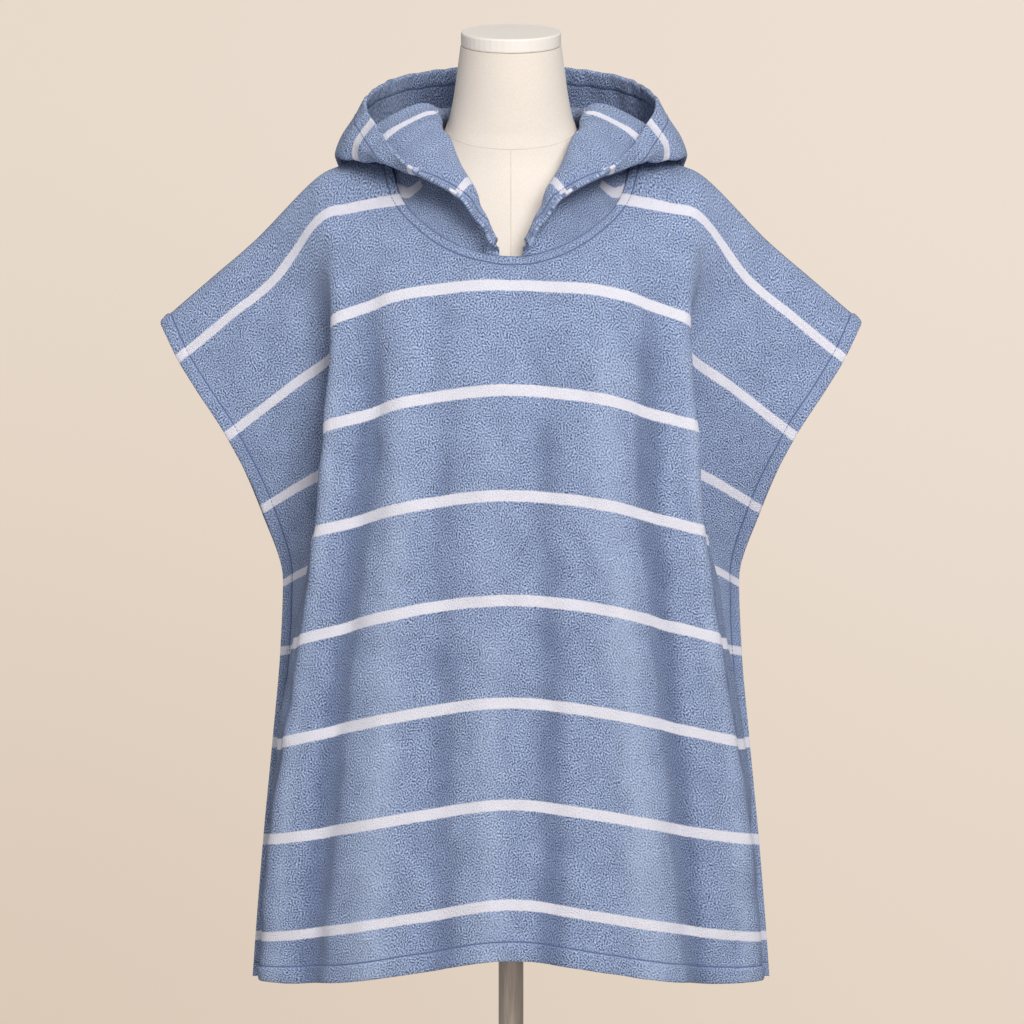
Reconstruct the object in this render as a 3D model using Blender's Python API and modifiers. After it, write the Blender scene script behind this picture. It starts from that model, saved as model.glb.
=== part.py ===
"""Hooded bath poncho of striped towelling, worn by a limbless dress form on a pole and a round base.

Metres, +Z up, the front faces -Y. The origin is on the floor, on the pole's axis.
The cloth panels and the hood are open surfaces that lie on the cloth's inner face; Solidify gives them
their wall on the outside. A panel point is named by u, the distance from the centre front or back along
the weft, and v, the distance from the shoulder line along the warp (negative on the back).
"""

import math

import bmesh
import bpy
import numpy as np

# Cut of the poncho
HALF_WIDTH = 0.430          # centre to the side edge, along the weft
LENGTH = 0.844              # shoulder line to the hem, along the warp
NECK_HALF_WIDTH = 0.130
NECK_DROP_FRONT = 0.132
NECK_DROP_BACK = 0.030
SIDE_BAND = 0.014           # narrow hem down each side
HEM = 0.020                 # bottom hem
RIM_HEM = 0.018             # hem round the hood's opening
RIM_FULLNESS = 0.35         # its thickness between a single layer and a pressed hem

# Directions round the neckline from the centre front at which panels and hood are cut; the hood's
# front corner is at the second one, and the back repeats them.
NECK_DIRECTIONS = (0, 6, 15, 25, 34, 42, 50, 58, 66, 76, 90)

# Walls and gaps
CLOTH = 0.0026              # one layer of towelling
FOLDED_CLOTH = 0.0045       # the hems, where the towelling lies double and pressed
SEAM_GAP = 0.0003
SHOULDER_SEAM_V = SEAM_GAP / 2
BAND_SLANT = 0.2            # the side bands lie nearly flat on each other
CHEST_BOW = 2.4             # how late a section bends back towards the crest

# The hood
HOOD_FOOT = 0.006           # inside the neckline the hood first follows the panel's slope this far
HOOD_SEAM_FLAT = 0.004      # beside the centre-back seam the two halves are level with each other

# Steps of the smooth curves between two corners of a path
PATH_STEPS = 16

# Stand
NECK_TILT_DEG = 13.5
CAP_RADIUS = 0.0515
CAP_THICKNESS = 0.0145
CAP_EDGE = 0.0018
POLE_RADIUS = 0.0128
BASE_RADIUS = 0.170
BASE_THICKNESS = 0.009
BASE_EDGE = 0.003
TORSO_SEGMENTS = 40

# Half sections across the front, one for each distance v from the shoulder line, downwards.
# centre: on the centre line.  crest: outer edge of the part that hangs over the chest.
# valley: bottom of the pleat behind it.  edge: side edge.
# bow: how late the weft drops towards the crest.  sag: how much further it hangs half-way there.
FRONT_SECTIONS = (
    # v, bow, sag, centre y z, crest x y z, valley x y z, edge x y z
    (0.000, 1.3, 0.0, 0.055, 1.445, 0.195, 0.000, 1.3685, 0.262, 0.000, 1.3015, 0.360, 0.000, 1.217),
    (0.058, 2.4, 0.0, -0.062, 1.347, 0.189, -0.046, 1.327, 0.243, -0.026, 1.261, 0.342, -0.018, 1.180),
    (0.100, 2.4, 0.0, -0.088, 1.312, 0.182, -0.070, 1.284, 0.206, -0.036, 1.243, 0.3235, -0.026, 1.150),
    (0.162, 2.6, 0.0, -0.112, 1.253, 0.180, -0.094, 1.218, 0.176, -0.042, 1.190, 0.2915, -0.034, 1.101),
    (0.266, 2.2, 0.1, -0.135, 1.147, 0.189, -0.112, 1.109, 0.176, -0.036, 1.075, 0.256, -0.022, 1.028),
    (0.370, 2.2, 0.15, -0.145, 1.041, 0.200, -0.118, 1.003, 0.190, -0.032, 0.974, 0.2345, -0.0002, 0.951),
    (0.474, 2.1, 0.15, -0.150, 0.936, 0.2175, -0.116, 0.894, 0.209, -0.029, 0.884, 0.237, -0.0002, 0.881),
    (0.578, 1.7, 0.1, -0.152, 0.833, 0.234, -0.110, 0.791, 0.226, -0.027, 0.788, 0.245, -0.0002, 0.787),
    (0.682, 1.4, 0.15, -0.157, 0.731, 0.244, -0.102, 0.693, 0.236, -0.025, 0.689, 0.2545, -0.0002, 0.687),
    (0.786, 1.2, 0.15, -0.162, 0.631, 0.2495, -0.095, 0.594, 0.242, -0.023, 0.590, 0.2625, -0.0002, 0.588),
    (0.844, 1.2, 0.55, -0.165, 0.5745, 0.251, -0.090, 0.5490, 0.243, -0.022, 0.547, 0.2655, -0.0002, 0.546),
)

# The same across the back.
BACK_SECTIONS = (
    (0.030, 1.7, 0.0, 0.077, 1.416, 0.190, 0.026, 1.352, 0.248, 0.014, 1.286, 0.351, 0.010, 1.199),
    (0.058, 2.2, 0.0, 0.088, 1.389, 0.187, 0.048, 1.331, 0.240, 0.028, 1.268, 0.342, 0.019, 1.180),
    (0.100, 2.2, 0.0, 0.103, 1.346, 0.182, 0.072, 1.291, 0.208, 0.040, 1.246, 0.3240, 0.029, 1.149),
    (0.162, 2.4, 0.0, 0.119, 1.283, 0.179, 0.092, 1.234, 0.178, 0.046, 1.195, 0.2930, 0.038, 1.100),
    (0.266, 2.4, 0.0, 0.132, 1.177, 0.187, 0.106, 1.128, 0.177, 0.040, 1.082, 0.259, 0.027, 1.026),
    (0.370, 2.2, 0.1, 0.136, 1.070, 0.199, 0.110, 1.022, 0.190, 0.034, 0.978, 0.2345, 0.0002, 0.951),
    (0.474, 2.0, 0.1, 0.140, 0.962, 0.215, 0.110, 0.912, 0.209, 0.030, 0.886, 0.237, 0.0002, 0.881),
    (0.578, 1.7, 0.1, 0.148, 0.855, 0.231, 0.108, 0.804, 0.226, 0.028, 0.789, 0.245, 0.0002, 0.787),
    (0.682, 1.5, 0.15, 0.156, 0.750, 0.241, 0.103, 0.701, 0.236, 0.026, 0.689, 0.2545, 0.0002, 0.687),
    (0.786, 1.3, 0.2, 0.163, 0.646, 0.247, 0.097, 0.600, 0.242, 0.024, 0.590, 0.2625, 0.0002, 0.588),
    (0.844, 1.3, 0.4, 0.166, 0.588, 0.249, 0.093, 0.553, 0.243, 0.022, 0.547, 0.2655, 0.0002, 0.546),
)

# Soft folds that hang from the chest and the shoulder blades; height is positive for a ridge.
FOLD_KNOTS = (0.0, 0.08, 0.2, 0.5, LENGTH)
FRONT_FOLDS = (
    # u at v 0.2, v 0.5 and the hem, height at v 0.2, v 0.5 and the hem, width
    (-0.165, -0.207, -0.245, -0.0060, -0.0115, -0.0130, 0.020),
    (-0.120, -0.150, -0.170, 0.0030, 0.0060, 0.0080, 0.026),
    (-0.080, -0.080, -0.080, -0.0020, -0.0055, -0.0070, 0.022),
    (-0.030, -0.026, -0.027, 0.0010, 0.0040, 0.0060, 0.022),
    (0.040, 0.047, 0.047, -0.0030, -0.0065, -0.0095, 0.021),
    (0.105, 0.135, 0.168, 0.0040, 0.0070, 0.0080, 0.026),
    (0.163, 0.187, 0.225, -0.0060, -0.0115, -0.0125, 0.019),
)
BACK_FOLDS = (
    (-0.160, -0.185, -0.215, -0.0040, -0.0100, -0.0130, 0.022),
    (-0.105, -0.118, -0.130, 0.0030, 0.0070, 0.0090, 0.026),
    (-0.050, -0.056, -0.060, -0.0020, -0.0070, -0.0100, 0.022),
    (0.006, 0.008, 0.010, 0.0010, 0.0050, 0.0080, 0.024),
    (0.062, 0.068, 0.072, -0.0030, -0.0070, -0.0100, 0.021),
    (0.110, 0.122, 0.140, 0.0030, 0.0060, 0.0080, 0.026),
    (0.158, 0.182, 0.208, -0.0050, -0.0100, -0.0120, 0.021),
)

# Paths of the hood's cloth from the neckline to its rim, one for each direction round the neckline
# (0 degrees is the centre front, 180 the centre back), on the side of +X.
HOOD_PATHS = (
    # degrees, roll x y z, over x y z, trough x y z, low x y z, wall x y z, rim x y z
    (6, 0.0165, -0.1080, 1.2920, 0.0168, -0.1105, 1.2965, 0.0175, -0.1140, 1.2985,
     0.0182, -0.1175, 1.2970, 0.0190, -0.1205, 1.2940, 0.0198, -0.1230, 1.2915),
    (22, 0.0290, -0.0990, 1.3180, 0.0293, -0.1035, 1.3245, 0.0300, -0.1090, 1.3265,
     0.0310, -0.1145, 1.3225, 0.0325, -0.1200, 1.3135, 0.0335, -0.1255, 1.3175),
    (34, 0.0380, -0.0870, 1.3410, 0.0385, -0.0930, 1.3490, 0.0410, -0.1010, 1.3515,
     0.0455, -0.1090, 1.3470, 0.0515, -0.1160, 1.3385, 0.0550, -0.1225, 1.3430),
    (50, 0.0530, -0.0560, 1.3760, 0.0555, -0.0640, 1.3845, 0.0640, -0.0760, 1.3860,
     0.0765, -0.0875, 1.3775, 0.0905, -0.0970, 1.3640, 0.0965, -0.1045, 1.3695),
    (58, 0.0620, -0.0420, 1.3960, 0.0660, -0.0480, 1.4030, 0.0840, -0.0600, 1.3960,
     0.1030, -0.0690, 1.3800, 0.1135, -0.0800, 1.3710, 0.1135, -0.0900, 1.3820),
    (66, 0.0710, -0.0250, 1.4110, 0.0765, -0.0300, 1.4190, 0.1030, -0.0440, 1.4050,
     0.1330, -0.0540, 1.3800, 0.1430, -0.0630, 1.3860, 0.1300, -0.0645, 1.4055),
    (90, 0.0765, 0.0040, 1.4320, 0.0850, 0.0000, 1.4410, 0.1290, -0.0010, 1.4260,
     0.1805, -0.0010, 1.3890, 0.1745, -0.0030, 1.4110, 0.1510, -0.0050, 1.4440),
    (114, 0.0690, 0.0400, 1.4310, 0.0745, 0.0460, 1.4400, 0.1110, 0.0690, 1.4130,
     0.1650, 0.0900, 1.3500, 0.1765, 0.0860, 1.3870, 0.1500, 0.0550, 1.4570),
    (142, 0.0520, 0.0690, 1.4360, 0.0540, 0.0790, 1.4440, 0.0740, 0.1150, 1.3850,
     0.1000, 0.1500, 1.2600, 0.1320, 0.1740, 1.3400, 0.1080, 0.1120, 1.4825),
    (180, 0.0000, 0.0770, 1.4370, 0.0000, 0.0890, 1.4440, 0.0000, 0.1310, 1.3600,
     0.0000, 0.1620, 1.2080, 0.0000, 0.2140, 1.3300, 0.0000, 0.1500, 1.4960),
)

# Where the hood's mesh is cut along its path, counted in corners of the path.
HOOD_CUTS = (0, 1, 1.5, 2, 2.5, 3, 3.5, 4, 4.5, 5, 5.5, 6, 6.5)

# Sections of the dress form, upwards; tilt leans the neck forward, squareness 2 is an ellipse.
TORSO_SECTIONS = (
    # z, half width, front y, back y, tilt in degrees, squareness
    (0.830, 0.152, -0.092, 0.100, 0.0, 2.2),
    (0.836, 0.162, -0.100, 0.109, 0.0, 2.2),
    (0.855, 0.169, -0.105, 0.115, 0.0, 2.2),
    (0.900, 0.172, -0.106, 0.117, 0.0, 2.2),
    (0.980, 0.158, -0.099, 0.100, 0.0, 2.2),
    (1.050, 0.143, -0.093, 0.084, 0.0, 2.2),
    (1.120, 0.146, -0.098, 0.084, 0.0, 2.2),
    (1.190, 0.157, -0.104, 0.092, 0.0, 2.2),
    (1.240, 0.164, -0.100, 0.096, 0.0, 2.2),
    (1.280, 0.166, -0.087, 0.096, 0.0, 2.1),
    (1.315, 0.166, -0.070, 0.092, 0.0, 2.0),
    (1.340, 0.160, -0.056, 0.086, 0.0, 1.9),
    (1.360, 0.144, -0.047, 0.081, 0.0, 1.8),
    (1.376, 0.120, -0.042, 0.077, 0.0, 1.7),
    (1.390, 0.096, -0.040, 0.073, 0.0, 1.8),
    (1.405, 0.078, -0.040, 0.070, 0.0, 1.9),
    (1.425, 0.0655, -0.042, 0.066, 4.0, 2.0),
    (1.450, 0.0595, -0.046, 0.061, 8.0, 2.0),
    (1.478, 0.0555, -0.051, 0.054, 12.0, 2.0),
    (1.5035, 0.0520, -0.056, 0.047, NECK_TILT_DEG, 2.0),
)

COLOURS = {
    # name: (red, green, blue), roughness, metallic
    "towelling": ((0.215, 0.318, 0.545), 0.95, 0.0),
    "jersey": ((0.800, 0.740, 0.660), 0.90, 0.0),
    "painted cap": ((0.790, 0.740, 0.670), 0.50, 0.0),
    "brushed steel": ((0.420, 0.390, 0.360), 0.32, 1.0),
    "powder coat": ((0.780, 0.750, 0.700), 0.45, 0.0),
}


def smooth_table(table, at):
    """Rows of a table whose first column is the knot, read at any knots; the curves never overshoot."""
    table = np.asarray(table, float)
    knots, rows = table[:, 0], table[:, 1:]
    gaps = np.diff(knots)[:, None]
    rises = np.diff(rows, axis=0) / gaps
    before, after = rises[:-1], rises[1:]
    turning = before * after <= 0
    level = np.where(turning, 1.0, before * after / np.where(turning, 1.0, before + after))
    slopes = np.vstack([rises[:1], np.where(turning, 0.0, 2 * level), rises[-1:]])
    at = np.asarray(at, float)
    i = np.clip(np.searchsorted(knots, at, side="right") - 1, 0, len(gaps) - 1)
    return hermite(rows[i], rows[i + 1], slopes[i], slopes[i + 1], gaps[i],
                   ((at - knots[i]) / gaps[i, 0])[:, None])


def hermite(start, end, start_slope, end_slope, gap, t):
    """Cubic that leaves start and reaches end with the given slopes; t runs from 0 to 1."""
    return ((1 + 2 * t) * (1 - t) ** 2 * start + t * (1 - t) ** 2 * gap * start_slope
            + t ** 2 * (3 - 2 * t) * end + t ** 2 * (t - 1) * gap * end_slope)


def rounded_paths(corners, steps):
    """A smooth path through each row of corners (rows, corners, 3), sampled between the corners."""
    gaps = np.sqrt(np.linalg.norm(np.diff(corners, axis=1), axis=2))[..., None]
    rises = np.diff(corners, axis=1) / gaps
    inner = (rises[:, :-1] * gaps[:, 1:] + rises[:, 1:] * gaps[:, :-1]) / (gaps[:, :-1] + gaps[:, 1:])
    slopes = np.concatenate([rises[:, :1], inner, rises[:, -1:]], axis=1)
    t = np.arange(steps)[None, None, :, None] / steps
    pieces = hermite(corners[:, :-1, None], corners[:, 1:, None], slopes[:, :-1, None],
                     slopes[:, 1:, None], gaps[:, :, None], t)
    rows = len(corners)
    return np.concatenate([pieces.reshape(rows, -1, 3), corners[:, -1:]], axis=1)


def points_along(paths, shares):
    """The point of each path at its share of the path's length."""
    run = path_lengths(paths)
    target = np.clip(shares, 0, 1) * run[:, -1]
    i = np.clip((run <= target[:, None]).sum(axis=1) - 1, 0, run.shape[1] - 2)
    row = np.arange(len(paths))
    t = ((target - run[row, i]) / (run[row, i + 1] - run[row, i]))[:, None]
    return paths[row, i] * (1 - t) + paths[row, i + 1] * t


def section_table():
    """Front and back sections as one table that runs from the back hem over the shoulder to the front hem."""
    back = [(-row[0],) + row[1:] for row in reversed(BACK_SECTIONS)]
    return np.array(back + list(FRONT_SECTIONS))


SECTIONS = section_table()


def draped_points(u, v):
    """Points of the plain drape, before its soft folds, for arrays of u and v."""
    bow, sag, yc, zc, *outer = smooth_table(SECTIONS, v).T
    crest, valley, edge = (np.stack(outer[i:i + 3], axis=1) for i in (0, 3, 6))
    corners = []
    for share in (-0.35, 0.0, 0.35, 0.65, 0.88):
        reach = abs(share)
        forward = reach ** CHEST_BOW
        drop = reach ** bow + sag * 4 * reach ** 2 * (1 - reach)
        corners.append(np.stack([share * crest[:, 0], yc + (crest[:, 1] - yc) * forward,
                                 zc + (crest[:, 2] - zc) * drop], axis=1))
    band = edge + (valley - edge) * (SIDE_BAND / np.linalg.norm(valley - edge, axis=1))[:, None]
    band[:, 1] = edge[:, 1] + BAND_SLANT * (band[:, 1] - edge[:, 1])
    corners += [crest, valley, (valley + band) / 2, band, edge]
    half = rounded_paths(np.stack(corners, axis=1), PATH_STEPS)[:, PATH_STEPS:]
    points = points_along(half, np.abs(u) / HALF_WIDTH)
    points[:, 0] *= np.where(u < 0, -1.0, 1.0)
    return points


def fold_table(row):
    """The place and height of one fold at a few distances from the shoulder line."""
    places, heights = row[:3], (0.0, 0.0) + row[3:6]
    return list(zip(FOLD_KNOTS, places[:1] * 2 + places, heights))


def fold_heights(u, v):
    """Height of the soft folds over the plain drape."""
    height = np.zeros_like(u)
    for sign, folds in ((1, FRONT_FOLDS), (-1, BACK_FOLDS)):
        down = np.clip(sign * v, 0, LENGTH)
        for row in folds:
            middle, rise = smooth_table(fold_table(row), down).T
            height += rise * np.exp(-((u - middle) / row[-1]) ** 2)
    return height


def panel_points(u, v):
    """Points of the cloth's inner face for arrays of u and v."""
    step = 0.002
    base = draped_points(u, v)
    along_u = draped_points(u + step, v) - draped_points(u - step, v)
    along_v = draped_points(u, v + step) - draped_points(u, v - step)
    out = np.cross(along_v, along_u)
    out /= np.linalg.norm(out, axis=1, keepdims=True)
    return base + out * fold_heights(u, v)[:, None]


def neckline(degrees, inwards=0.0):
    """u and v of the neckline, or of a curve that far inside it, at directions round the neck."""
    turn = np.radians(degrees)
    drop = np.where(np.cos(turn) > 0, NECK_DROP_FRONT, NECK_DROP_BACK)
    across, down = np.sin(turn) / NECK_HALF_WIDTH, np.cos(turn) / drop
    step = inwards / np.hypot(across, down)
    return (NECK_HALF_WIDTH * np.sin(turn) - step * across, drop * np.cos(turn) - step * down)


def hood_paths(degrees):
    """Smooth paths of the hood's inner face at +X, from the neckline to the rim."""
    table = np.array(HOOD_PATHS)
    beyond = table[-2].copy()
    beyond[0] = 360 - beyond[0]
    beyond[1::3] *= -1
    corners = smooth_table(np.vstack([table, beyond]), degrees).reshape(len(degrees), -1, 3)
    feet = [draped_points(*neckline(degrees, inwards))[:, None] for inwards in (SEAM_GAP, HOOD_FOOT)]
    return rounded_paths(np.concatenate(feet + [corners], axis=1), PATH_STEPS)


def path_lengths(paths):
    """Distance run along each path at each of its points."""
    lengths = np.linalg.norm(np.diff(paths, axis=1), axis=2)
    return np.concatenate([np.zeros((len(paths), 1)), np.cumsum(lengths, axis=1)], axis=1)


def material(name):
    """The Principled material of that name in COLOURS."""
    made = bpy.data.materials.get(name)
    if made:
        return made
    colour, roughness, metallic = COLOURS[name]
    made = bpy.data.materials.new(name)
    made.use_nodes = True
    shader = made.node_tree.nodes["Principled BSDF"]
    shader.inputs["Base Color"].default_value = (*colour, 1)
    shader.inputs["Roughness"].default_value = roughness
    shader.inputs["Metallic"].default_value = metallic
    made.diffuse_color = (*colour, 1)
    return made


def grid_object(name, points, hem_mask, collection, flip=False):
    """A cloth wall on a grid of points (rows, columns, 3), thicker where hem_mask is 1."""
    rows, columns = points.shape[:2]
    index = np.arange(rows * columns).reshape(rows, columns)
    faces = np.stack([index[:-1, :-1], index[1:, :-1], index[1:, 1:], index[:-1, 1:]], axis=-1).reshape(-1, 4)
    if flip:
        faces = faces[:, ::-1]
    mesh = bpy.data.meshes.new(name)
    mesh.from_pydata(points.reshape(-1, 3).tolist(), [], faces.tolist())
    mesh.shade_smooth()
    mesh.materials.append(material("towelling"))
    piece = bpy.data.objects.new(name, mesh)
    collection.objects.link(piece)
    hem = piece.vertex_groups.new(name="hem")
    hem.add([int(i) for i in np.flatnonzero(hem_mask.ravel())], float(hem_mask.max()), "REPLACE")
    wall = piece.modifiers.new("wall", "SOLIDIFY")
    wall.thickness = FOLDED_CLOTH
    wall.offset = 1.0
    wall.vertex_group = hem.name
    wall.thickness_vertex_group = CLOTH / FOLDED_CLOTH
    return piece


def panel_columns():
    """u of the panel's columns: close where the neckline turns and where the side pleat folds."""
    neck = NECK_HALF_WIDTH * np.sin(np.radians(NECK_DIRECTIONS))
    side = np.array([0.154, 0.178, 0.200, 0.218, 0.236, 0.256, 0.282, 0.316, 0.352, 0.386])
    half = np.concatenate([neck, side, [HALF_WIDTH - SIDE_BAND, HALF_WIDTH]])
    return np.concatenate([-half[:0:-1], half])


def make_panel(name, side, collection):
    """The front (side 1) or back (side -1) panel: rows run from the neckline or shoulder to the hem."""
    drop = NECK_DROP_FRONT if side > 0 else NECK_DROP_BACK
    columns = panel_columns()
    inside = np.clip(1 - (columns / NECK_HALF_WIDTH) ** 2, 0, 1)
    top = np.maximum(drop * np.sqrt(inside), SHOULDER_SEAM_V)
    falls = np.concatenate([[0, 0.022, 0.05, 0.085], np.linspace(0.13, 1, 14)])
    body = LENGTH - HEM
    v = top[None, :] + (body - top[None, :]) * falls[:, None]
    v = np.vstack([v, np.full_like(columns, LENGTH)])
    u = np.broadcast_to(columns, v.shape)
    points = panel_points(u.ravel(), side * v.ravel()).reshape(*v.shape, 3)
    hem_mask = (np.abs(u) > HALF_WIDTH - SIDE_BAND - 1e-6) | (v > body - 1e-6)
    return grid_object(name, points, hem_mask, collection, flip=side < 0)


def make_hood_half(name, side, collection):
    """The hood half at +X (side 1) or -X (side -1)."""
    front = np.array(NECK_DIRECTIONS[1:], float)
    degrees = np.concatenate([front, 180 - front[-2::-1], [180]])
    paths = hood_paths(degrees)
    run = path_lengths(paths)
    steps = (np.array(HOOD_CUTS) * PATH_STEPS).astype(int)
    shares = run[:, steps] / run[:, -1:]
    hem_start = np.maximum(1 - RIM_HEM / run[:, -1], (shares[:, -1] + 2) / 3)
    shares = np.column_stack([shares, hem_start, np.ones(len(degrees))])
    columns = [points_along(paths, shares[:, i]) for i in range(shares.shape[1])]
    points = np.stack(columns, axis=1)
    points[-1, :, 0] = SEAM_GAP / 2
    beside_seam = points[-1] + (HOOD_SEAM_FLAT, 0, 0)
    points = np.concatenate([points[:-1], beside_seam[None], points[-1:]])
    points[..., 0] *= side
    hem_mask = np.zeros(points.shape[:2])
    hem_mask[:, -2:] = RIM_FULLNESS
    return grid_object(name, points, hem_mask, collection, flip=side > 0)


def make_torso(collection):
    """The dress form: a loft through its sections, closed flat under the hips and on the neck."""
    shape = bmesh.new()
    angles = [2 * math.pi * i / TORSO_SEGMENTS for i in range(TORSO_SEGMENTS)]
    rings = []
    for z, half_width, front, back, tilt, squareness in TORSO_SECTIONS:
        middle, half_depth = (front + back) / 2, (back - front) / 2
        lean = math.tan(math.radians(tilt))
        ring = []
        for angle in angles:
            c, s = math.cos(angle), math.sin(angle)
            x = half_width * math.copysign(abs(c) ** (2 / squareness), c)
            y = half_depth * math.copysign(abs(s) ** (2 / squareness), s)
            ring.append(shape.verts.new((x, middle + y, z + y * lean)))
        rings.append(ring)
    for low, high in zip(rings, rings[1:]):
        for i in range(TORSO_SEGMENTS):
            j = (i + 1) % TORSO_SEGMENTS
            shape.faces.new((low[i], low[j], high[j], high[i]))
    shape.faces.new(reversed(rings[0]))
    shape.faces.new(rings[-1])
    mesh = bpy.data.meshes.new("torso")
    shape.to_mesh(mesh)
    shape.free()
    mesh.shade_smooth()
    mesh.set_sharp_from_angle(angle=math.radians(50))
    mesh.materials.append(material("jersey"))
    torso = bpy.data.objects.new("torso", mesh)
    collection.objects.link(torso)
    return torso


def make_cylinder(name, radius, height, location, finish, collection, edge=0.0, sides=48, tilt=0.0):
    """A round piece that stands on its location, with an eased edge; tilt leans it forward."""
    bpy.ops.mesh.primitive_cylinder_add(vertices=sides, radius=radius, depth=height)
    piece = bpy.context.object
    piece.name = piece.data.name = name
    for vertex in piece.data.vertices:
        vertex.co.z += height / 2
    piece.location = location
    piece.rotation_euler.x = tilt
    if edge:
        bevel = piece.modifiers.new("edge", "BEVEL")
        bevel.width = edge
        bevel.segments = 2
        bevel.limit_method = "ANGLE"
    piece.data.shade_smooth()
    piece.data.set_sharp_from_angle(angle=math.radians(35))
    piece.data.materials.append(material(finish))
    for owner in piece.users_collection:
        owner.objects.unlink(piece)
    collection.objects.link(piece)
    return piece


def make_stand(collection):
    """Neck cap, pole and base plate."""
    z, _, front, back, tilt, _ = TORSO_SECTIONS[-1]
    lean = math.radians(tilt)
    seat = ((0.0, (front + back) / 2 - SEAM_GAP * math.sin(lean), z + SEAM_GAP * math.cos(lean)))
    make_cylinder("neck_cap", CAP_RADIUS, CAP_THICKNESS, seat, "painted cap", collection,
                  edge=CAP_EDGE, tilt=lean)
    foot = BASE_THICKNESS + SEAM_GAP
    make_cylinder("pole", POLE_RADIUS, TORSO_SECTIONS[0][0] - SEAM_GAP - foot, (0, 0, foot),
                  "brushed steel", collection, sides=32)
    make_cylinder("base_plate", BASE_RADIUS, BASE_THICKNESS, (0, 0, 0), "powder coat", collection,
                  edge=BASE_EDGE, sides=64)


def main():
    for old in list(bpy.data.objects):
        bpy.data.objects.remove(old)
    collection = bpy.data.collections.new("hooded_bath_poncho")
    bpy.context.scene.collection.children.link(collection)
    make_panel("front_panel", 1, collection)
    make_panel("back_panel", -1, collection)
    make_hood_half("hood_left", 1, collection)
    make_hood_half("hood_right", -1, collection)
    make_torso(collection)
    make_stand(collection)


main()
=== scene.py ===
"""Hooded bath poncho of striped towelling on a limbless dress form with a pole and a round base.

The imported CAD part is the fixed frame. The fine cloth, its stitches and the jersey cover of the
form are made here from the same surfaces as the CAD part, in metres, +Z up, front towards -Y.
A point of a panel is named by u, its distance from the centre line along the weft, and v, its
distance from the shoulder line along the warp, negative on the back. A point of the hood is named
by its direction round the neckline, 0 degrees at the centre front, and its place on the path to
the rim.
"""

import logging
import math
from dataclasses import dataclass
from enum import Enum

import bpy
import numpy as np
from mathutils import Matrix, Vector


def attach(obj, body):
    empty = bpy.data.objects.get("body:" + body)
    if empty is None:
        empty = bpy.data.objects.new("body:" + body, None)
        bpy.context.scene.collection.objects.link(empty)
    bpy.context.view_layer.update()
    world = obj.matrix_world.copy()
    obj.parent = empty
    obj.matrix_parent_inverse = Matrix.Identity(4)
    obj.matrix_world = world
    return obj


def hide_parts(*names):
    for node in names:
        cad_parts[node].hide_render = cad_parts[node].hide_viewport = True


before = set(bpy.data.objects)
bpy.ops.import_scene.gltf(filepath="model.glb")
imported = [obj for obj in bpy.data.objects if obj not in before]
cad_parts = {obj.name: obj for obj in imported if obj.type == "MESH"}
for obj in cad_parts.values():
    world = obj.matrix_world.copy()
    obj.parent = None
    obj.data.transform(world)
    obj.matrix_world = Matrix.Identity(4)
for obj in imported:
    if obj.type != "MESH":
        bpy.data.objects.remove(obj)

LOG = logging.getLogger("poncho")
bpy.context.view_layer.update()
Points = np.ndarray
Triple = tuple[float, float, float]     # a place, a scale or a colour
Material = bpy.types.Material
Object = bpy.types.Object
Node = bpy.types.Node
Socket = bpy.types.NodeSocket
Tree = bpy.types.NodeTree

# Cut of the poncho
HALF_WIDTH = 0.430          # centre to the side edge, along the weft
LENGTH = 0.844              # shoulder line to the hem, along the warp
NECK_HALF_WIDTH = 0.130
NECK_DROP_FRONT = 0.132
NECK_DROP_BACK = 0.030
SIDE_BAND = 0.014
HEM = 0.020
RIM_HEM = 0.018
NECK_STITCH = 0.009         # the outer row of stitches, outside the neck seam
NECK_STRIP = 0.016          # width of the ring of mesh round the neckline
TIP_RADIUS = 0.010          # rounding of the panel's corner at the end of the shoulder
STRIPE_START = 0.0585       # shoulder line to the middle of the first stripe
STRIPE_PITCH = 0.104
STRIPE_WIDTH = 0.0114

# Walls and gaps
CLOTH = 0.0026
FOLDED_CLOTH = 0.0046
STITCHED_CLOTH = 0.0022
RIM_CLOTH = 0.0040
SEAM_GAP = 0.0003
SHOULDER_SEAM_V = SEAM_GAP / 2
GROOVE_REACH = 0.0014       # how far beside a row of stitches the cloth is pressed
GROOVE_DEPTH = 0.8          # how nearly it is pressed to STITCHED_CLOTH
FOLD_REACH = 0.003          # over this the wall grows from one layer to a hem
STITCH_LIFT = 0.0003        # of the thread over the pressed cloth
PANEL_HEM_EDGE = (0.0012, 0.0025)   # depth and reach by which an edge is rounded
PANEL_NECK_EDGE = (0.0009, 0.003)
HOOD_HEM_EDGE = (0.0009, 0.0022)
HOOD_NECK_EDGE = (0.0008, 0.004)
SEAM_REACH = 0.02           # distances to the stitches are kept up to here
BAND_SLANT = 0.2            # share of the side band's slant that is kept
CHEST_BOW = 2.4             # how squarely the chest comes forward
HOOD_FOOT = 0.006           # where the hood leaves the slope of the shoulders
HOOD_SEAM_FLAT = 0.004      # flat cloth beside the hood's centre-back seam
PATH_STEPS = 16

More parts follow.
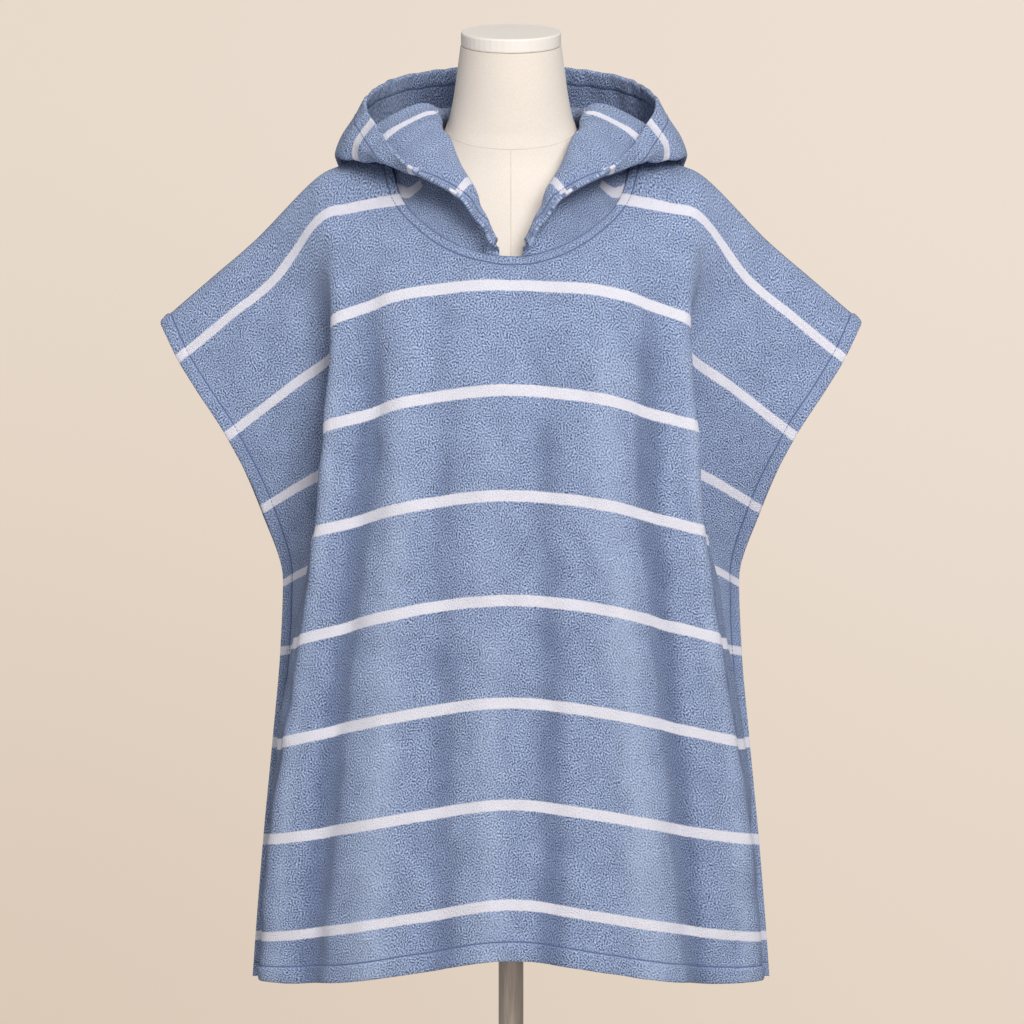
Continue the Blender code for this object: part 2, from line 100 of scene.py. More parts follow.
# Mesh steps
NECK_STEP_DEG = 1.5
CLOTH_STEP = 0.0055
BODY_ROWS = 150
COLUMN_SPREAD = 5           # how soon the columns below the neckline are evenly spaced
HOOD_STEP_DEG = 1.0
HOOD_COLUMNS = 84
FORM_STEP = 0.004
BATCH = 4000
FOLD_APPROACH = 0.006       # the open cloth's mesh ends this far before a hem or band
STEPS_TO_FOLD = (-0.003, -0.0012, 0.0, 0.0012, 0.003, 0.006)    # over the edge of a hem or band
NECK_STRIP_STEPS = (0, 0.0012, 0.003, 0.006, 0.0078, NECK_STITCH, 0.0102, 0.0125, NECK_STRIP)
CORNER_REACH = 0.03         # columns this near the side edge follow the rounded corner
STITCH_ENDS = 0.003         # a row of stitches ends this far before the edge
SIDE_LINE_POINTS, HEM_LINE_POINTS, NECK_LINE_POINTS = 420, 430, 240
# Metres between the pieces on the flat cloth, so that no two have the same pile.
CHART_OFFSETS = {"back_panel": 2.0, "hood_left": 5.0, "hood_right": 3.0}

# Half sections across the front, one for each distance v from the shoulder line, downwards.
FRONT_SECTIONS = (
    # v, bow, sag, centre y z, crest x y z, valley x y z, edge x y z
    (0.0, 1.3, 0.0, 0.055, 1.445,
     0.195, 0.0, 1.3685, 0.262, 0.0, 1.3015, 0.36, 0.0, 1.217),
    (0.058, 2.4, 0.0, -0.062, 1.347,
     0.189, -0.046, 1.327, 0.243, -0.026, 1.261, 0.342, -0.018, 1.18),
    (0.1, 2.4, 0.0, -0.088, 1.312,
     0.182, -0.07, 1.284, 0.206, -0.036, 1.243, 0.3235, -0.026, 1.15),
    (0.162, 2.6, 0.0, -0.112, 1.253,
     0.18, -0.094, 1.218, 0.176, -0.042, 1.19, 0.2915, -0.034, 1.101),
    (0.266, 2.2, 0.1, -0.135, 1.147,
     0.189, -0.112, 1.109, 0.176, -0.036, 1.075, 0.256, -0.022, 1.028),
    (0.37, 2.2, 0.15, -0.145, 1.041,
     0.2, -0.118, 1.003, 0.19, -0.032, 0.974, 0.2345, -0.0002, 0.951),
    (0.474, 2.1, 0.15, -0.15, 0.936,
     0.2175, -0.116, 0.894, 0.209, -0.029, 0.884, 0.237, -0.0002, 0.881),
    (0.578, 1.7, 0.1, -0.152, 0.833,
     0.234, -0.11, 0.791, 0.226, -0.027, 0.788, 0.245, -0.0002, 0.787),
    (0.682, 1.4, 0.15, -0.157, 0.731,
     0.244, -0.102, 0.693, 0.236, -0.025, 0.689, 0.2545, -0.0002, 0.687),
    (0.786, 1.2, 0.15, -0.162, 0.631,
     0.2495, -0.095, 0.594, 0.242, -0.023, 0.59, 0.2625, -0.0002, 0.588),
    (0.844, 1.2, 0.55, -0.165, 0.5745,
     0.251, -0.09, 0.549, 0.243, -0.022, 0.547, 0.2655, -0.0002, 0.546),
)
# The same across the back.
BACK_SECTIONS = (
    (0.03, 1.7, 0.0, 0.077, 1.416,
     0.19, 0.026, 1.352, 0.248, 0.014, 1.286, 0.351, 0.01, 1.199),
    (0.058, 2.2, 0.0, 0.088, 1.389,
     0.187, 0.048, 1.331, 0.24, 0.028, 1.268, 0.342, 0.019, 1.18),
    (0.1, 2.2, 0.0, 0.103, 1.346,
     0.182, 0.072, 1.291, 0.208, 0.04, 1.246, 0.324, 0.029, 1.149),
    (0.162, 2.4, 0.0, 0.119, 1.283,
     0.179, 0.092, 1.234, 0.178, 0.046, 1.195, 0.293, 0.038, 1.1),
    (0.266, 2.4, 0.0, 0.132, 1.177,
     0.187, 0.106, 1.128, 0.177, 0.04, 1.082, 0.259, 0.027, 1.026),
    (0.37, 2.2, 0.1, 0.136, 1.07,
     0.199, 0.11, 1.022, 0.19, 0.034, 0.978, 0.2345, 0.0002, 0.951),
    (0.474, 2.0, 0.1, 0.14, 0.962,
     0.215, 0.11, 0.912, 0.209, 0.03, 0.886, 0.237, 0.0002, 0.881),
    (0.578, 1.7, 0.1, 0.148, 0.855,
     0.231, 0.108, 0.804, 0.226, 0.028, 0.789, 0.245, 0.0002, 0.787),
    (0.682, 1.5, 0.15, 0.156, 0.75,
     0.241, 0.103, 0.701, 0.236, 0.026, 0.689, 0.2545, 0.0002, 0.687),
    (0.786, 1.3, 0.2, 0.163, 0.646,
     0.247, 0.097, 0.6, 0.242, 0.024, 0.59, 0.2625, 0.0002, 0.588),
    (0.844, 1.3, 0.4, 0.166, 0.588,
     0.249, 0.093, 0.553, 0.243, 0.022, 0.547, 0.2655, 0.0002, 0.546),
)
# Soft folds that hang from the chest and the shoulder blades.
FOLD_KNOTS = (0.0, 0.08, 0.2, 0.5, LENGTH)
FRONT_FOLDS = (
    # u at v 0.2, v 0.5 and the hem, height at v 0.2, v 0.5 and the hem, width
    (-0.165, -0.207, -0.245, -0.006, -0.0115, -0.013, 0.02),
    (-0.12, -0.15, -0.17, 0.003, 0.006, 0.008, 0.026),
    (-0.08, -0.08, -0.08, -0.002, -0.0055, -0.007, 0.022),
    (-0.03, -0.026, -0.027, 0.001, 0.004, 0.006, 0.022),
    (0.04, 0.047, 0.047, -0.003, -0.0065, -0.0095, 0.021),
    (0.105, 0.135, 0.168, 0.004, 0.007, 0.008, 0.026),
    (0.163, 0.187, 0.225, -0.006, -0.0115, -0.0125, 0.019),
)
BACK_FOLDS = (
    (-0.16, -0.185, -0.215, -0.004, -0.01, -0.013, 0.022),
    (-0.105, -0.118, -0.13, 0.003, 0.007, 0.009, 0.026),
    (-0.05, -0.056, -0.06, -0.002, -0.007, -0.01, 0.022),
    (0.006, 0.008, 0.01, 0.001, 0.005, 0.008, 0.024),
    (0.062, 0.068, 0.072, -0.003, -0.007, -0.01, 0.021),
    (0.11, 0.122, 0.14, 0.003, 0.006, 0.008, 0.026),
    (0.158, 0.182, 0.208, -0.005, -0.01, -0.012, 0.021),
)
# Shallow creases of the fine cloth, from one point of a panel to another.
FRONT_CREASES = (
    # u v at the start, u v at the end, width, height
    (-0.15, 0.13, -0.163, 0.42, 0.011, -0.0035),
    (0.148, 0.15, 0.158, 0.44, 0.012, -0.003),
    (-0.285, 0.06, -0.335, 0.3, 0.02, 0.003),
    (0.28, 0.07, 0.34, 0.29, 0.022, 0.0028),
    (-0.24, 0.15, -0.3, 0.38, 0.016, -0.0028),
    (0.235, 0.14, 0.3, 0.4, 0.017, -0.0026),
    (-0.06, 0.15, -0.105, 0.3, 0.016, -0.0012),
    (0.05, 0.16, 0.1, 0.33, 0.018, -0.0014),
    (-0.015, 0.15, 0.01, 0.26, 0.012, 0.001),
    (0.23, 0.22, 0.31, 0.7, 0.015, -0.009),
    (-0.232, 0.22, -0.312, 0.7, 0.015, -0.006),
)
BACK_CREASES = (
    (0.23, 0.22, 0.31, 0.7, 0.015, -0.007),
    (-0.23, 0.22, -0.31, 0.7, 0.015, -0.008),
    (-0.14, 0.08, -0.16, 0.4, 0.013, -0.0032),
    (0.142, 0.07, 0.155, 0.38, 0.012, -0.0034),
    (-0.27, 0.07, -0.33, 0.31, 0.02, 0.003),
    (0.285, 0.05, 0.335, 0.28, 0.021, 0.003),
    (-0.235, 0.16, -0.29, 0.4, 0.017, -0.0027),
    (0.24, 0.15, 0.3, 0.37, 0.016, -0.0028),
    (-0.07, 0.12, -0.06, 0.34, 0.02, 0.0016),
    (0.04, 0.14, 0.06, 0.36, 0.022, -0.0018),
)
# Half sections' shares of the way to the crest, over the chest.
CHEST_SHARES = (-0.35, 0.0, 0.35, 0.65, 0.88)
# v and u of the line along which the cloth turns back, beside which a painted highlight and painted
# shade lie.
CREST_LINE = ((0.1, 0.2), (0.195, 0.21), (0.39, 0.245), (0.495, 0.263), (0.6, 0.28),
              (0.844, 0.3))
CREST_BANDS = ((-0.008, 0.011, 0.7), (0.032, 0.024, -1.4))  # beyond the line, width, painted tone: + painted highlight, - painted shade
FOLD_PAINT_HEIGHT = 0.009       # a fold this high gets the full painted highlight or painted shade
# Slow unevenness of the cloth: waves per metre along u and v, phase, height
COCKLES = (
    (9.0, 4.0, 0.3, 0.0007), (-6.0, 11.0, 2.1, 0.0006), (17.0, 7.0, 4.0, 0.00035),
    (5.0, -15.0, 1.2, 0.00045), (21.0, -19.0, 5.3, 0.00022), (-26.0, 13.0, 3.1, 0.0002),
)

# Unevenness of the hood and of its rim: wave length along the rim, wave length from the neckline,
# bend, bends per metre, phase, height
HOOD_LUMPS = ((0.047, None, 3.0, 31.0, 0.0, 0.0009), (0.081, 0.063, 0.0, 0.0, 1.3, 0.0007))
RIM_LUMP_DEGREES = (40.0, 90.0)     # round the neck the rim's lumps grow from none to all
RIM_LUMP_REACH = (0.004, 0.026)     # and fade at these distances from the rim
NECK_CALM = (0.004, 0.03)           # no lumps this near the neckline, and all of them further out
SEAM_CALM = (0.003, 0.03)
RIM_LUMPS = ((0.0141, None, 2.2, 23.0, 0.0, 0.0004), (0.0193, None, 0.0, 0.0, 0.9, 0.0003))

# Paths of the hood's cloth from the neckline to its rim, on the side of +X.
HOOD_PATHS = (
    # degrees, roll x y z, over x y z, trough x y z, low x y z, wall x y z, rim x y z
    (6, 0.0165, -0.108, 1.292, 0.0168, -0.1105, 1.2965, 0.0175, -0.114, 1.2985,
     0.0182, -0.1175, 1.297, 0.019, -0.1205, 1.294, 0.0198, -0.123, 1.2915),
    (22, 0.029, -0.099, 1.318, 0.0293, -0.1035, 1.3245, 0.03, -0.109, 1.3265,
     0.031, -0.1145, 1.3225, 0.0325, -0.12, 1.3135, 0.0335, -0.1255, 1.3175),
    (34, 0.038, -0.087, 1.341, 0.0385, -0.093, 1.349, 0.041, -0.101, 1.3515,
     0.0455, -0.109, 1.347, 0.0515, -0.116, 1.3385, 0.055, -0.1225, 1.343),
    (50, 0.053, -0.056, 1.376, 0.0555, -0.064, 1.3845, 0.064, -0.076, 1.386,
     0.0765, -0.0875, 1.3775, 0.0905, -0.097, 1.364, 0.0965, -0.1045, 1.3695),
    (58, 0.062, -0.042, 1.396, 0.066, -0.048, 1.403, 0.084, -0.06, 1.396,
     0.103, -0.069, 1.38, 0.1135, -0.08, 1.371, 0.1135, -0.09, 1.382),
    (66, 0.071, -0.025, 1.411, 0.0765, -0.03, 1.419, 0.103, -0.044, 1.405,
     0.133, -0.054, 1.38, 0.143, -0.063, 1.386, 0.13, -0.0645, 1.4055),
    (90, 0.0765, 0.004, 1.432, 0.085, 0.0, 1.441, 0.129, -0.001, 1.426,
     0.1805, -0.001, 1.389, 0.1745, -0.003, 1.411, 0.151, -0.005, 1.444),
    (114, 0.069, 0.04, 1.431, 0.0745, 0.046, 1.44, 0.111, 0.069, 1.413,
     0.165, 0.09, 1.35, 0.1765, 0.086, 1.387, 0.15, 0.055, 1.457),
    (142, 0.052, 0.069, 1.436, 0.054, 0.079, 1.444, 0.074, 0.115, 1.385,
     0.1, 0.15, 1.26, 0.132, 0.174, 1.34, 0.108, 0.112, 1.4825),
    (180, 0.0, 0.077, 1.437, 0.0, 0.089, 1.444, 0.0, 0.131, 1.36,
     0.0, 0.162, 1.208, 0.0, 0.214, 1.33, 0.0, 0.15, 1.496),
)
# Distance along the warp at the corners of each hood path, which places the stripes on the hood.
HOOD_WARP = (
    # degrees, foot, slope, roll, over, trough, low, wall, rim
    (6, 0.1, 0.098, 0.085, 0.044, 0.04, 0.01, 0.0, -0.005),
    (22, 0.1, 0.098, 0.085, 0.044, 0.04, 0.03, 0.022, 0.02),
    (34, 0.1, 0.098, 0.085, 0.05, 0.05, 0.05, 0.05, 0.05),
    (50, 0.112, 0.114, 0.118, 0.122, 0.13, 0.138, 0.144, 0.147),
    (58, 0.135, 0.14, 0.15, 0.158, 0.17, 0.18, 0.187, 0.19),
    (66, 0.158, 0.163, 0.198, 0.222, 0.236, 0.238, 0.238, 0.238),
    (75, 0.176, 0.181, 0.236, 0.262, 0.266, 0.266, 0.266, 0.266),
    (90, 0.196, 0.2, 0.225, 0.335, 0.348, 0.35, 0.304, 0.3),
    (114, 0.19, 0.195, 0.205, 0.22, 0.262, 0.33, 0.3, 0.205),
    (142, 0.188, 0.194, 0.205, 0.22, 0.285, 0.4, 0.325, 0.19),
    (180, 0.188, 0.194, 0.205, 0.22, 0.305, 0.45, 0.338, 0.185),
)
# Places on the hood that carry no stripe: directions round the neck and shares of the path.
HOOD_PLAIN = (
    # from degrees, to degrees, from share, to share
    (-10, 44, -1.0, 0.66),
    (44, 68, 0.15, 0.865),
)

# Sections of the dress form, upwards; tilt leans the neck forward, squareness 2 is an ellipse.
TORSO_SECTIONS = (
    # z, half width, front y, back y, tilt in degrees, squareness
    (0.83, 0.152, -0.092, 0.1, 0.0, 2.2),
    (0.836, 0.162, -0.1, 0.109, 0.0, 2.2),
    (0.855, 0.169, -0.105, 0.115, 0.0, 2.2),
    (0.9, 0.172, -0.106, 0.117, 0.0, 2.2),
    (0.98, 0.158, -0.099, 0.1, 0.0, 2.2),
    (1.05, 0.143, -0.093, 0.084, 0.0, 2.2),
    (1.12, 0.146, -0.098, 0.084, 0.0, 2.2),
    (1.19, 0.157, -0.104, 0.092, 0.0, 2.2),
    (1.24, 0.164, -0.1, 0.096, 0.0, 2.2),
    (1.28, 0.166, -0.087, 0.096, 0.0, 2.1),
    (1.315, 0.166, -0.07, 0.092, 0.0, 2.0),
    (1.34, 0.16, -0.056, 0.086, 0.0, 1.9),
    (1.36, 0.144, -0.047, 0.081, 0.0, 1.8),
    (1.376, 0.12, -0.042, 0.077, 0.0, 1.7),
    (1.39, 0.096, -0.04, 0.073, 0.0, 1.8),
    (1.405, 0.078, -0.04, 0.07, 0.0, 1.9),
    (1.425, 0.0655, -0.042, 0.066, 4.0, 2.0),
    (1.45, 0.0595, -0.046, 0.061, 8.0, 2.0),
    (1.478, 0.0555, -0.051, 0.054, 12.0, 2.0),
    (1.5035, 0.052, -0.056, 0.047, 13.5, 2.0),
)


def smooth_table(table: Points, at: Points) -> Points:
    """Read a table whose first column is the knot at any knots, with curves that never overshoot.

    Args:
        table: Rows of a knot and its values, by rising knot.
        at: Knots to read.

    Returns:
        One row of values for each knot read.
    """
    table = np.asarray(table, float)
    knots, rows = table[:, 0], table[:, 1:]
    gaps = np.diff(knots)[:, None]
    rises = np.diff(rows, axis=0) / gaps
    before, after = rises[:-1], rises[1:]
    turning = before * after <= 0
    level = np.where(turning, 1.0, before * after / np.where(turning, 1.0, before + after))
    slopes = np.vstack([rises[:1], np.where(turning, 0.0, 2 * level), rises[-1:]])
    at = np.asarray(at, float)
    i = np.clip(np.searchsorted(knots, at, side="right") - 1, 0, len(gaps) - 1)
    return hermite(rows[i], rows[i + 1], slopes[i], slopes[i + 1], gaps[i],
                   ((at - knots[i]) / gaps[i, 0])[:, None])


def hermite(start: Points, end: Points, start_slope: Points, end_slope: Points, gap: Points,
            t: Points) -> Points:
    """Cubic that leaves start and reaches end with the given slopes; t runs from 0 to 1."""
    return ((1 + 2 * t) * (1 - t) ** 2 * start + t * (1 - t) ** 2 * gap * start_slope
            + t ** 2 * (3 - 2 * t) * end + t ** 2 * (t - 1) * gap * end_slope)


def unit(vectors: Points) -> Points:
    """The same directions at length 1."""
    return vectors / np.maximum(np.linalg.norm(vectors, axis=-1, keepdims=True), 1e-12)


def circle(sides: int) -> Points:
    """Angles of the points of a ring."""
    return 2 * math.pi * np.arange(sides) / sides


def tube_quads(rings: int, sides: int) -> Points:
    """Quads between rings of points that follow one another along a tube."""
    start, side = np.arange(rings - 1)[:, None] * sides, np.arange(sides)[None, :]
    i, j = start + side, start + (side + 1) % sides
    return np.stack([i, j, j + sides, i + sides], axis=-1).reshape(-1, 4)


def rounded_paths(corners: Points, steps: int) -> Points:
    """A smooth path through each row of corners (rows, corners, 3), sampled between the corners."""
    gaps = np.sqrt(np.linalg.norm(np.diff(corners, axis=1), axis=2))[..., None]
    rises = np.diff(corners, axis=1) / gaps
    before, after = gaps[:, :-1], gaps[:, 1:]
    inner = (rises[:, :-1] * after + rises[:, 1:] * before) / (before + after)
    slopes = np.concatenate([rises[:, :1], inner, rises[:, -1:]], axis=1)
    t = np.arange(steps)[None, None, :, None] / steps
    pieces = hermite(corners[:, :-1, None], corners[:, 1:, None], slopes[:, :-1, None],
                     slopes[:, 1:, None], gaps[:, :, None], t)
    return np.concatenate([pieces.reshape(len(corners), -1, 3), corners[:, -1:]], axis=1)


def path_lengths(paths: Points) -> Points:
    """Distance run along each path at each of its points."""
    lengths = np.linalg.norm(np.diff(paths, axis=1), axis=2)
    return np.concatenate([np.zeros((len(paths), 1)), np.cumsum(lengths, axis=1)], axis=1)


def read_along(paths: Points, shares: Points) -> Points:
    """Read each path, whose last axis may hold more than a point, at its share of its length."""
    run = path_lengths(paths[..., :3])
    target = np.clip(shares, 0, 1) * run[:, -1]
    i = np.clip((run <= target[:, None]).sum(axis=1) - 1, 0, run.shape[1] - 2)
    row = np.arange(len(paths))
    t = ((target - run[row, i]) / (run[row, i + 1] - run[row, i]))[:, None]
    return paths[row, i] * (1 - t) + paths[row, i + 1] * t


def fold_table(row: tuple[float, ...]) -> list[Triple]:
    """The place and height of one fold at a few distances from the shoulder line."""
    places, heights = row[:3], (0.0, 0.0) + row[3:6]
    return list(zip(FOLD_KNOTS, places[:1] * 2 + places, heights))


def smooth_step(value: Points, low: float, high: float) -> Points:
    """Rise from 0 at low to 1 at high, level at both ends."""
    t = np.clip((value - low) / (high - low), 0, 1)
    return t * t * (3 - 2 * t)


def within(value: Points, low: float, high: float, blend: float) -> Points:
    """1 between low and high and 0 outside, blended over a little at both."""
    return smooth_step(value, low - blend, low + blend) * (
        1 - smooth_step(value, high - blend, high + blend))


def edge_loss(distance: Points, depth: float, reach: float) -> Points:
    """How much thinner a wall is near its edge."""
    return depth * (1 - smooth_step(distance, 0.0, reach))


def with_mirrored_end(rows: tuple, flipped: slice) -> Points:
    """Add the row past the centre back to a table by directions round the neck.

    Args:
        rows: The table, of which the last row is the centre back.
        flipped: Columns that change sign on the other side of the centre.

    Returns:
        The table with one row more.
    """
    table = np.array(rows)
    beyond = table[-2].copy()
    beyond[0] = 360 - beyond[0]
    beyond[flipped] *= -1
    return np.vstack([table, beyond])


def grooved(wall: Points, seam: Points) -> Points:
    """Press a wall of cloth thinner along its row of stitches."""
    groove = 1 - smooth_step(seam, 0.0, GROOVE_REACH)
    return wall + (STITCHED_CLOTH - wall) * groove * GROOVE_DEPTH


def uneven(waves: tuple, along: Points, across: Points) -> Points:
    """Height of a few bent waves over distances along the rim and from the neckline."""
    height = np.zeros_like(along)
    for length, length_across, bend, bends, phase, rise in waves:
        turn = along / length - (across / length_across if length_across else 0.0)
        height += rise * np.sin(2 * math.pi * turn + bend * np.sin(along * bends) + phase)
    return height


def neckline(degrees: Points, inwards: float | Points = 0.0) -> tuple[Points, Points]:
    """u and v of the neckline, or of a curve that far inside it, at directions round the neck."""
    turn = np.radians(degrees)
    drop = np.where(np.cos(turn) > 0, NECK_DROP_FRONT, NECK_DROP_BACK)
    across, down = np.sin(turn) / NECK_HALF_WIDTH, np.cos(turn) / drop
    step = inwards / np.hypot(across, down)
    return (NECK_HALF_WIDTH * np.sin(turn) - step * across, drop * np.cos(turn) - step * down)


class Slot(Enum):
    """Slots for the pieces made here, which no piece is given."""

    TOWELLING = "towelling"
    JERSEY = "jersey"


class Side(Enum):
    """The two panels; the value is the sign of v."""

    FRONT = 1
    BACK = -1


class Hand(Enum):
    """The two halves of the hood; the value is the sign of x."""

    LEFT = 1
    RIGHT = -1


class Drape:
    """The hanging cloth of both panels, as one surface over u and v."""

    def __init__(self) -> None:
        """Join the sections of the back and the front into one table."""
        back = [(-row[0],) + row[1:] for row in reversed(BACK_SECTIONS)]
        self.sections = np.array(back + list(FRONT_SECTIONS))

    def plain(self, u: Points, v: Points) -> Points:
        """Points of the plain drape, before folds and creases.

        Args:
            u: Distances from the centre line.
            v: Distances from the shoulder line.

        Returns:
            Points on the cloth's inner face.
        """
        bow, sag, yc, zc, *outer = smooth_table(self.sections, v).T
        crest, valley, edge = (np.stack(outer[i:i + 3], axis=1) for i in (0, 3, 6))
        corners = []
        for share in CHEST_SHARES:
            reach = abs(share)
            forward = reach ** CHEST_BOW
            drop = reach ** bow + sag * 4 * reach ** 2 * (1 - reach)
            corners.append(np.stack([share * crest[:, 0], yc + (crest[:, 1] - yc) * forward,
                                     zc + (crest[:, 2] - zc) * drop], axis=1))
        band = edge + (valley - edge) * (SIDE_BAND / np.linalg.norm(valley - edge, axis=1))[:, None]
        band[:, 1] = edge[:, 1] + BAND_SLANT * (band[:, 1] - edge[:, 1])
        corners += [crest, valley, (valley + band) / 2, band, edge]
        half = rounded_paths(np.stack(corners, axis=1), PATH_STEPS)[:, PATH_STEPS:]
        points = read_along(half, np.abs(u) / HALF_WIDTH)
        points[:, 0] *= np.where(u < 0, -1.0, 1.0)
        return points

    @staticmethod
    def relief(u: Points, v: Points) -> Points:
        """Height of the folds, creases and cockles over the plain drape."""
        height = np.zeros_like(u)
        for sign, folds, creases in ((1, FRONT_FOLDS, FRONT_CREASES),
                                     (-1, BACK_FOLDS, BACK_CREASES)):
            down = np.clip(sign * v, 0, LENGTH)
            for row in folds:
                middle, rise = smooth_table(fold_table(row), down).T
                height += rise * np.exp(-((u - middle) / row[-1]) ** 2)
            for u0, v0, u1, v1, width, rise in creases:
                run = np.hypot(u1 - u0, v1 - v0)
                along = ((u - u0) * (u1 - u0) + (sign * v - v0) * (v1 - v0)) / run ** 2
                off = ((u - u0) * (v1 - v0) - (sign * v - v0) * (u1 - u0)) / run
                ends = smooth_step(along, -0.25, 0.3) * (1 - smooth_step(along, 0.6, 1.25))
                height += np.where(sign * v > 0, rise * ends * np.exp(-(off / width) ** 2), 0)
        quiet = smooth_step(HALF_WIDTH - np.abs(u), 0.0, 0.05) * smooth_step(np.abs(v), 0.0, 0.12)
        for waves_u, waves_v, phase, rise in COCKLES:
            height += quiet * rise * np.sin(2 * math.pi * (waves_u * u + waves_v * v) + phase)
        return height

    def painted_fold_light(self, u: Points, v: Points) -> Points:
        """Painted light on the cloth: 1 for a painted highlight on a fold's ridge and along the
        crest, -1 for painted shade down in a fold and in the hollow beyond the crest.
        """
        crest = np.interp(np.abs(v), *np.array(CREST_LINE).T)
        beyond = np.abs(u) - crest
        value = self.relief(u, v) / FOLD_PAINT_HEIGHT
        below = smooth_step(np.abs(v), 0.12, 0.24)
        for middle, width, painted_tone in CREST_BANDS:
            # Painted highlight on the crest's edge and painted shade in the hollow beyond it.
            value += below * painted_tone * np.exp(-((beyond - middle) / width) ** 2)
        return np.clip(value, -1, 1)

    def _face(self, u: Points, v: Points) -> tuple[Points, Points]:
        step = 0.002
        along_u = self.plain(u + step, v) - self.plain(u - step, v)
        along_v = self.plain(u, v + step) - self.plain(u, v - step)
        out = unit(np.cross(along_v, along_u))
        return self.plain(u, v) + out * self.relief(u, v)[:, None], out

    def face(self, u: Points, v: Points) -> tuple[Points, Points]:
        """Points of the cloth's inner face and the outward directions there.

        Args:
            u: Distances from the centre line, in any shape.
            v: Distances from the shoulder line, in the same shape.

        Returns:
            Points and directions, with a last axis of 3.
        """
        flat_u, flat_v = np.ravel(u).astype(float), np.ravel(v).astype(float)
        parts = [self._face(flat_u[i:i + BATCH], flat_v[i:i + BATCH])
                 for i in range(0, len(flat_u), BATCH)]
        points, out = (np.concatenate([part[k] for part in parts]) for k in (0, 1))
        return points.reshape(*np.shape(u), 3), out.reshape(*np.shape(u), 3)


@dataclass(frozen=True)
class ClothPatch:
    """A grid of the cloth's inner face with what its finish needs to know."""

    points: Points      # (rows, columns, 3)
    chart: Points       # place on the flat cloth, in metres, (rows, columns, 2)
    warp: Points        # distance along the warp, which places the stripes
    wall: Points        # thickness of the cloth
    seam: Points        # distance to the nearest row of stitches
    plain: Points       # 1 where the stripes don't show
    painted_fold_light: Points      # painted light, -1 painted shade to 1 painted highlight


def surface_normals(points: Points, flip: bool) -> Points:
    """Outward directions of a grid of points (rows, columns, 3)."""
    down = np.gradient(points, axis=0)
    across = np.gradient(points, axis=1)
    return unit(np.cross(across, down) if flip else np.cross(down, across))


def new_object(name: str, verts: Points, faces: list, finish: Material) -> Object:
    """A smooth mesh object at the origin with one material."""
    mesh = bpy.data.meshes.new(name)
    mesh.from_pydata(np.asarray(verts).tolist(), [], faces)
    mesh.materials.append(finish)
    mesh.shade_smooth()
    piece = bpy.data.objects.new(name, mesh)
    bpy.context.scene.collection.objects.link(piece)
    return piece


def apply_modifier(piece: Object, modifier: bpy.types.Modifier) -> None:
    """Write a modifier's result into the piece's mesh."""
    with bpy.context.temp_override(object=piece, active_object=piece, selected_objects=[piece]):
        bpy.ops.object.modifier_apply(modifier=modifier.name)


def declare(piece: Object, node: str | None = None) -> None:
    """Say which body a piece rides and which CAD node it replaces."""
    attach(piece, "root")
    if node:
        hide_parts(node)


def write_layers(piece: Object, patches: list[ClothPatch]) -> None:
    """Give the vertices what the cloth's finish and wall need to know."""
    # One of these layers carries the painted highlight and painted shade of the folds.
    for label in ("warp", "seam", "plain", "painted_fold_light", "wall"):
        values = np.concatenate([getattr(patch, label).ravel() for patch in patches])
        layer = piece.data.attributes.new(label, "FLOAT", "POINT")
        layer.data.foreach_set("value", values.astype(np.float32))
    chart = np.concatenate([patch.chart.reshape(-1, 2) for patch in patches])
    chart = np.column_stack([chart, np.zeros(len(chart))])
    layer = piece.data.attributes.new("chart", "FLOAT_VECTOR", "POINT")
    layer.data.foreach_set("vector", chart.astype(np.float32).ravel())


def thicken(piece: Object) -> None:
    """Turn an inner face into a wall outwards, as thick as its vertices say."""
    group = piece.vertex_groups.new(name="wall")
    walls = np.empty(len(piece.data.vertices), np.float32)
    piece.data.attributes["wall"].data.foreach_get("value", walls)
    for thickness in np.unique(np.round(walls, 5)):
        members = np.flatnonzero(np.abs(walls - thickness) < 6e-6)
        group.add(members.tolist(), float(thickness / FOLDED_CLOTH), "REPLACE")
    wall = piece.modifiers.new("wall", "SOLIDIFY")
    wall.thickness = FOLDED_CLOTH
    wall.offset = 1.0
    wall.vertex_group = group.name
    apply_modifier(piece, wall)


def cloth_object(name: str, patches: list[ClothPatch], flip: bool,
                 finish: Material) -> Object:
    """Join patches that share edges into one wall of cloth.

    Args:
        name: Name of the piece.
        patches: Grids of the inner face.
        flip: Whether the grids' rows and columns turn the other way round.
        finish: Material of the cloth.

    Returns:
        The piece, with its wall on the outside of the grids.
    """
    verts, faces, start = [], [], 0
    for patch in patches:
        rows, columns = patch.points.shape[:2]
        index = start + np.arange(rows * columns).reshape(rows, columns)
        quads = np.stack([index[:-1, :-1], index[1:, :-1], index[1:, 1:], index[:-1, 1:]], axis=-1)
        quads = quads.reshape(-1, 4)
        faces += (quads[:, ::-1] if flip else quads).tolist()
        verts.append(patch.points.reshape(-1, 3))
        start += rows * columns
    piece = new_object(name, np.concatenate(verts), faces, finish)
    write_layers(piece, patches)
    if len(patches) > 1:
        weld = piece.modifiers.new("weld", "WELD")
        weld.merge_threshold = 0.00002
        apply_modifier(piece, weld)
    thicken(piece)
    return piece


# Rings of one stitch: place along its length, height over the cloth and width, in radii.
STITCH_SHAPE = ((-0.5, -0.9, 0.55), (-0.36, 0.35, 0.9), (0.0, 0.75, 1.0), (0.36, 0.35, 0.9),
                (0.5, -0.9, 0.55))


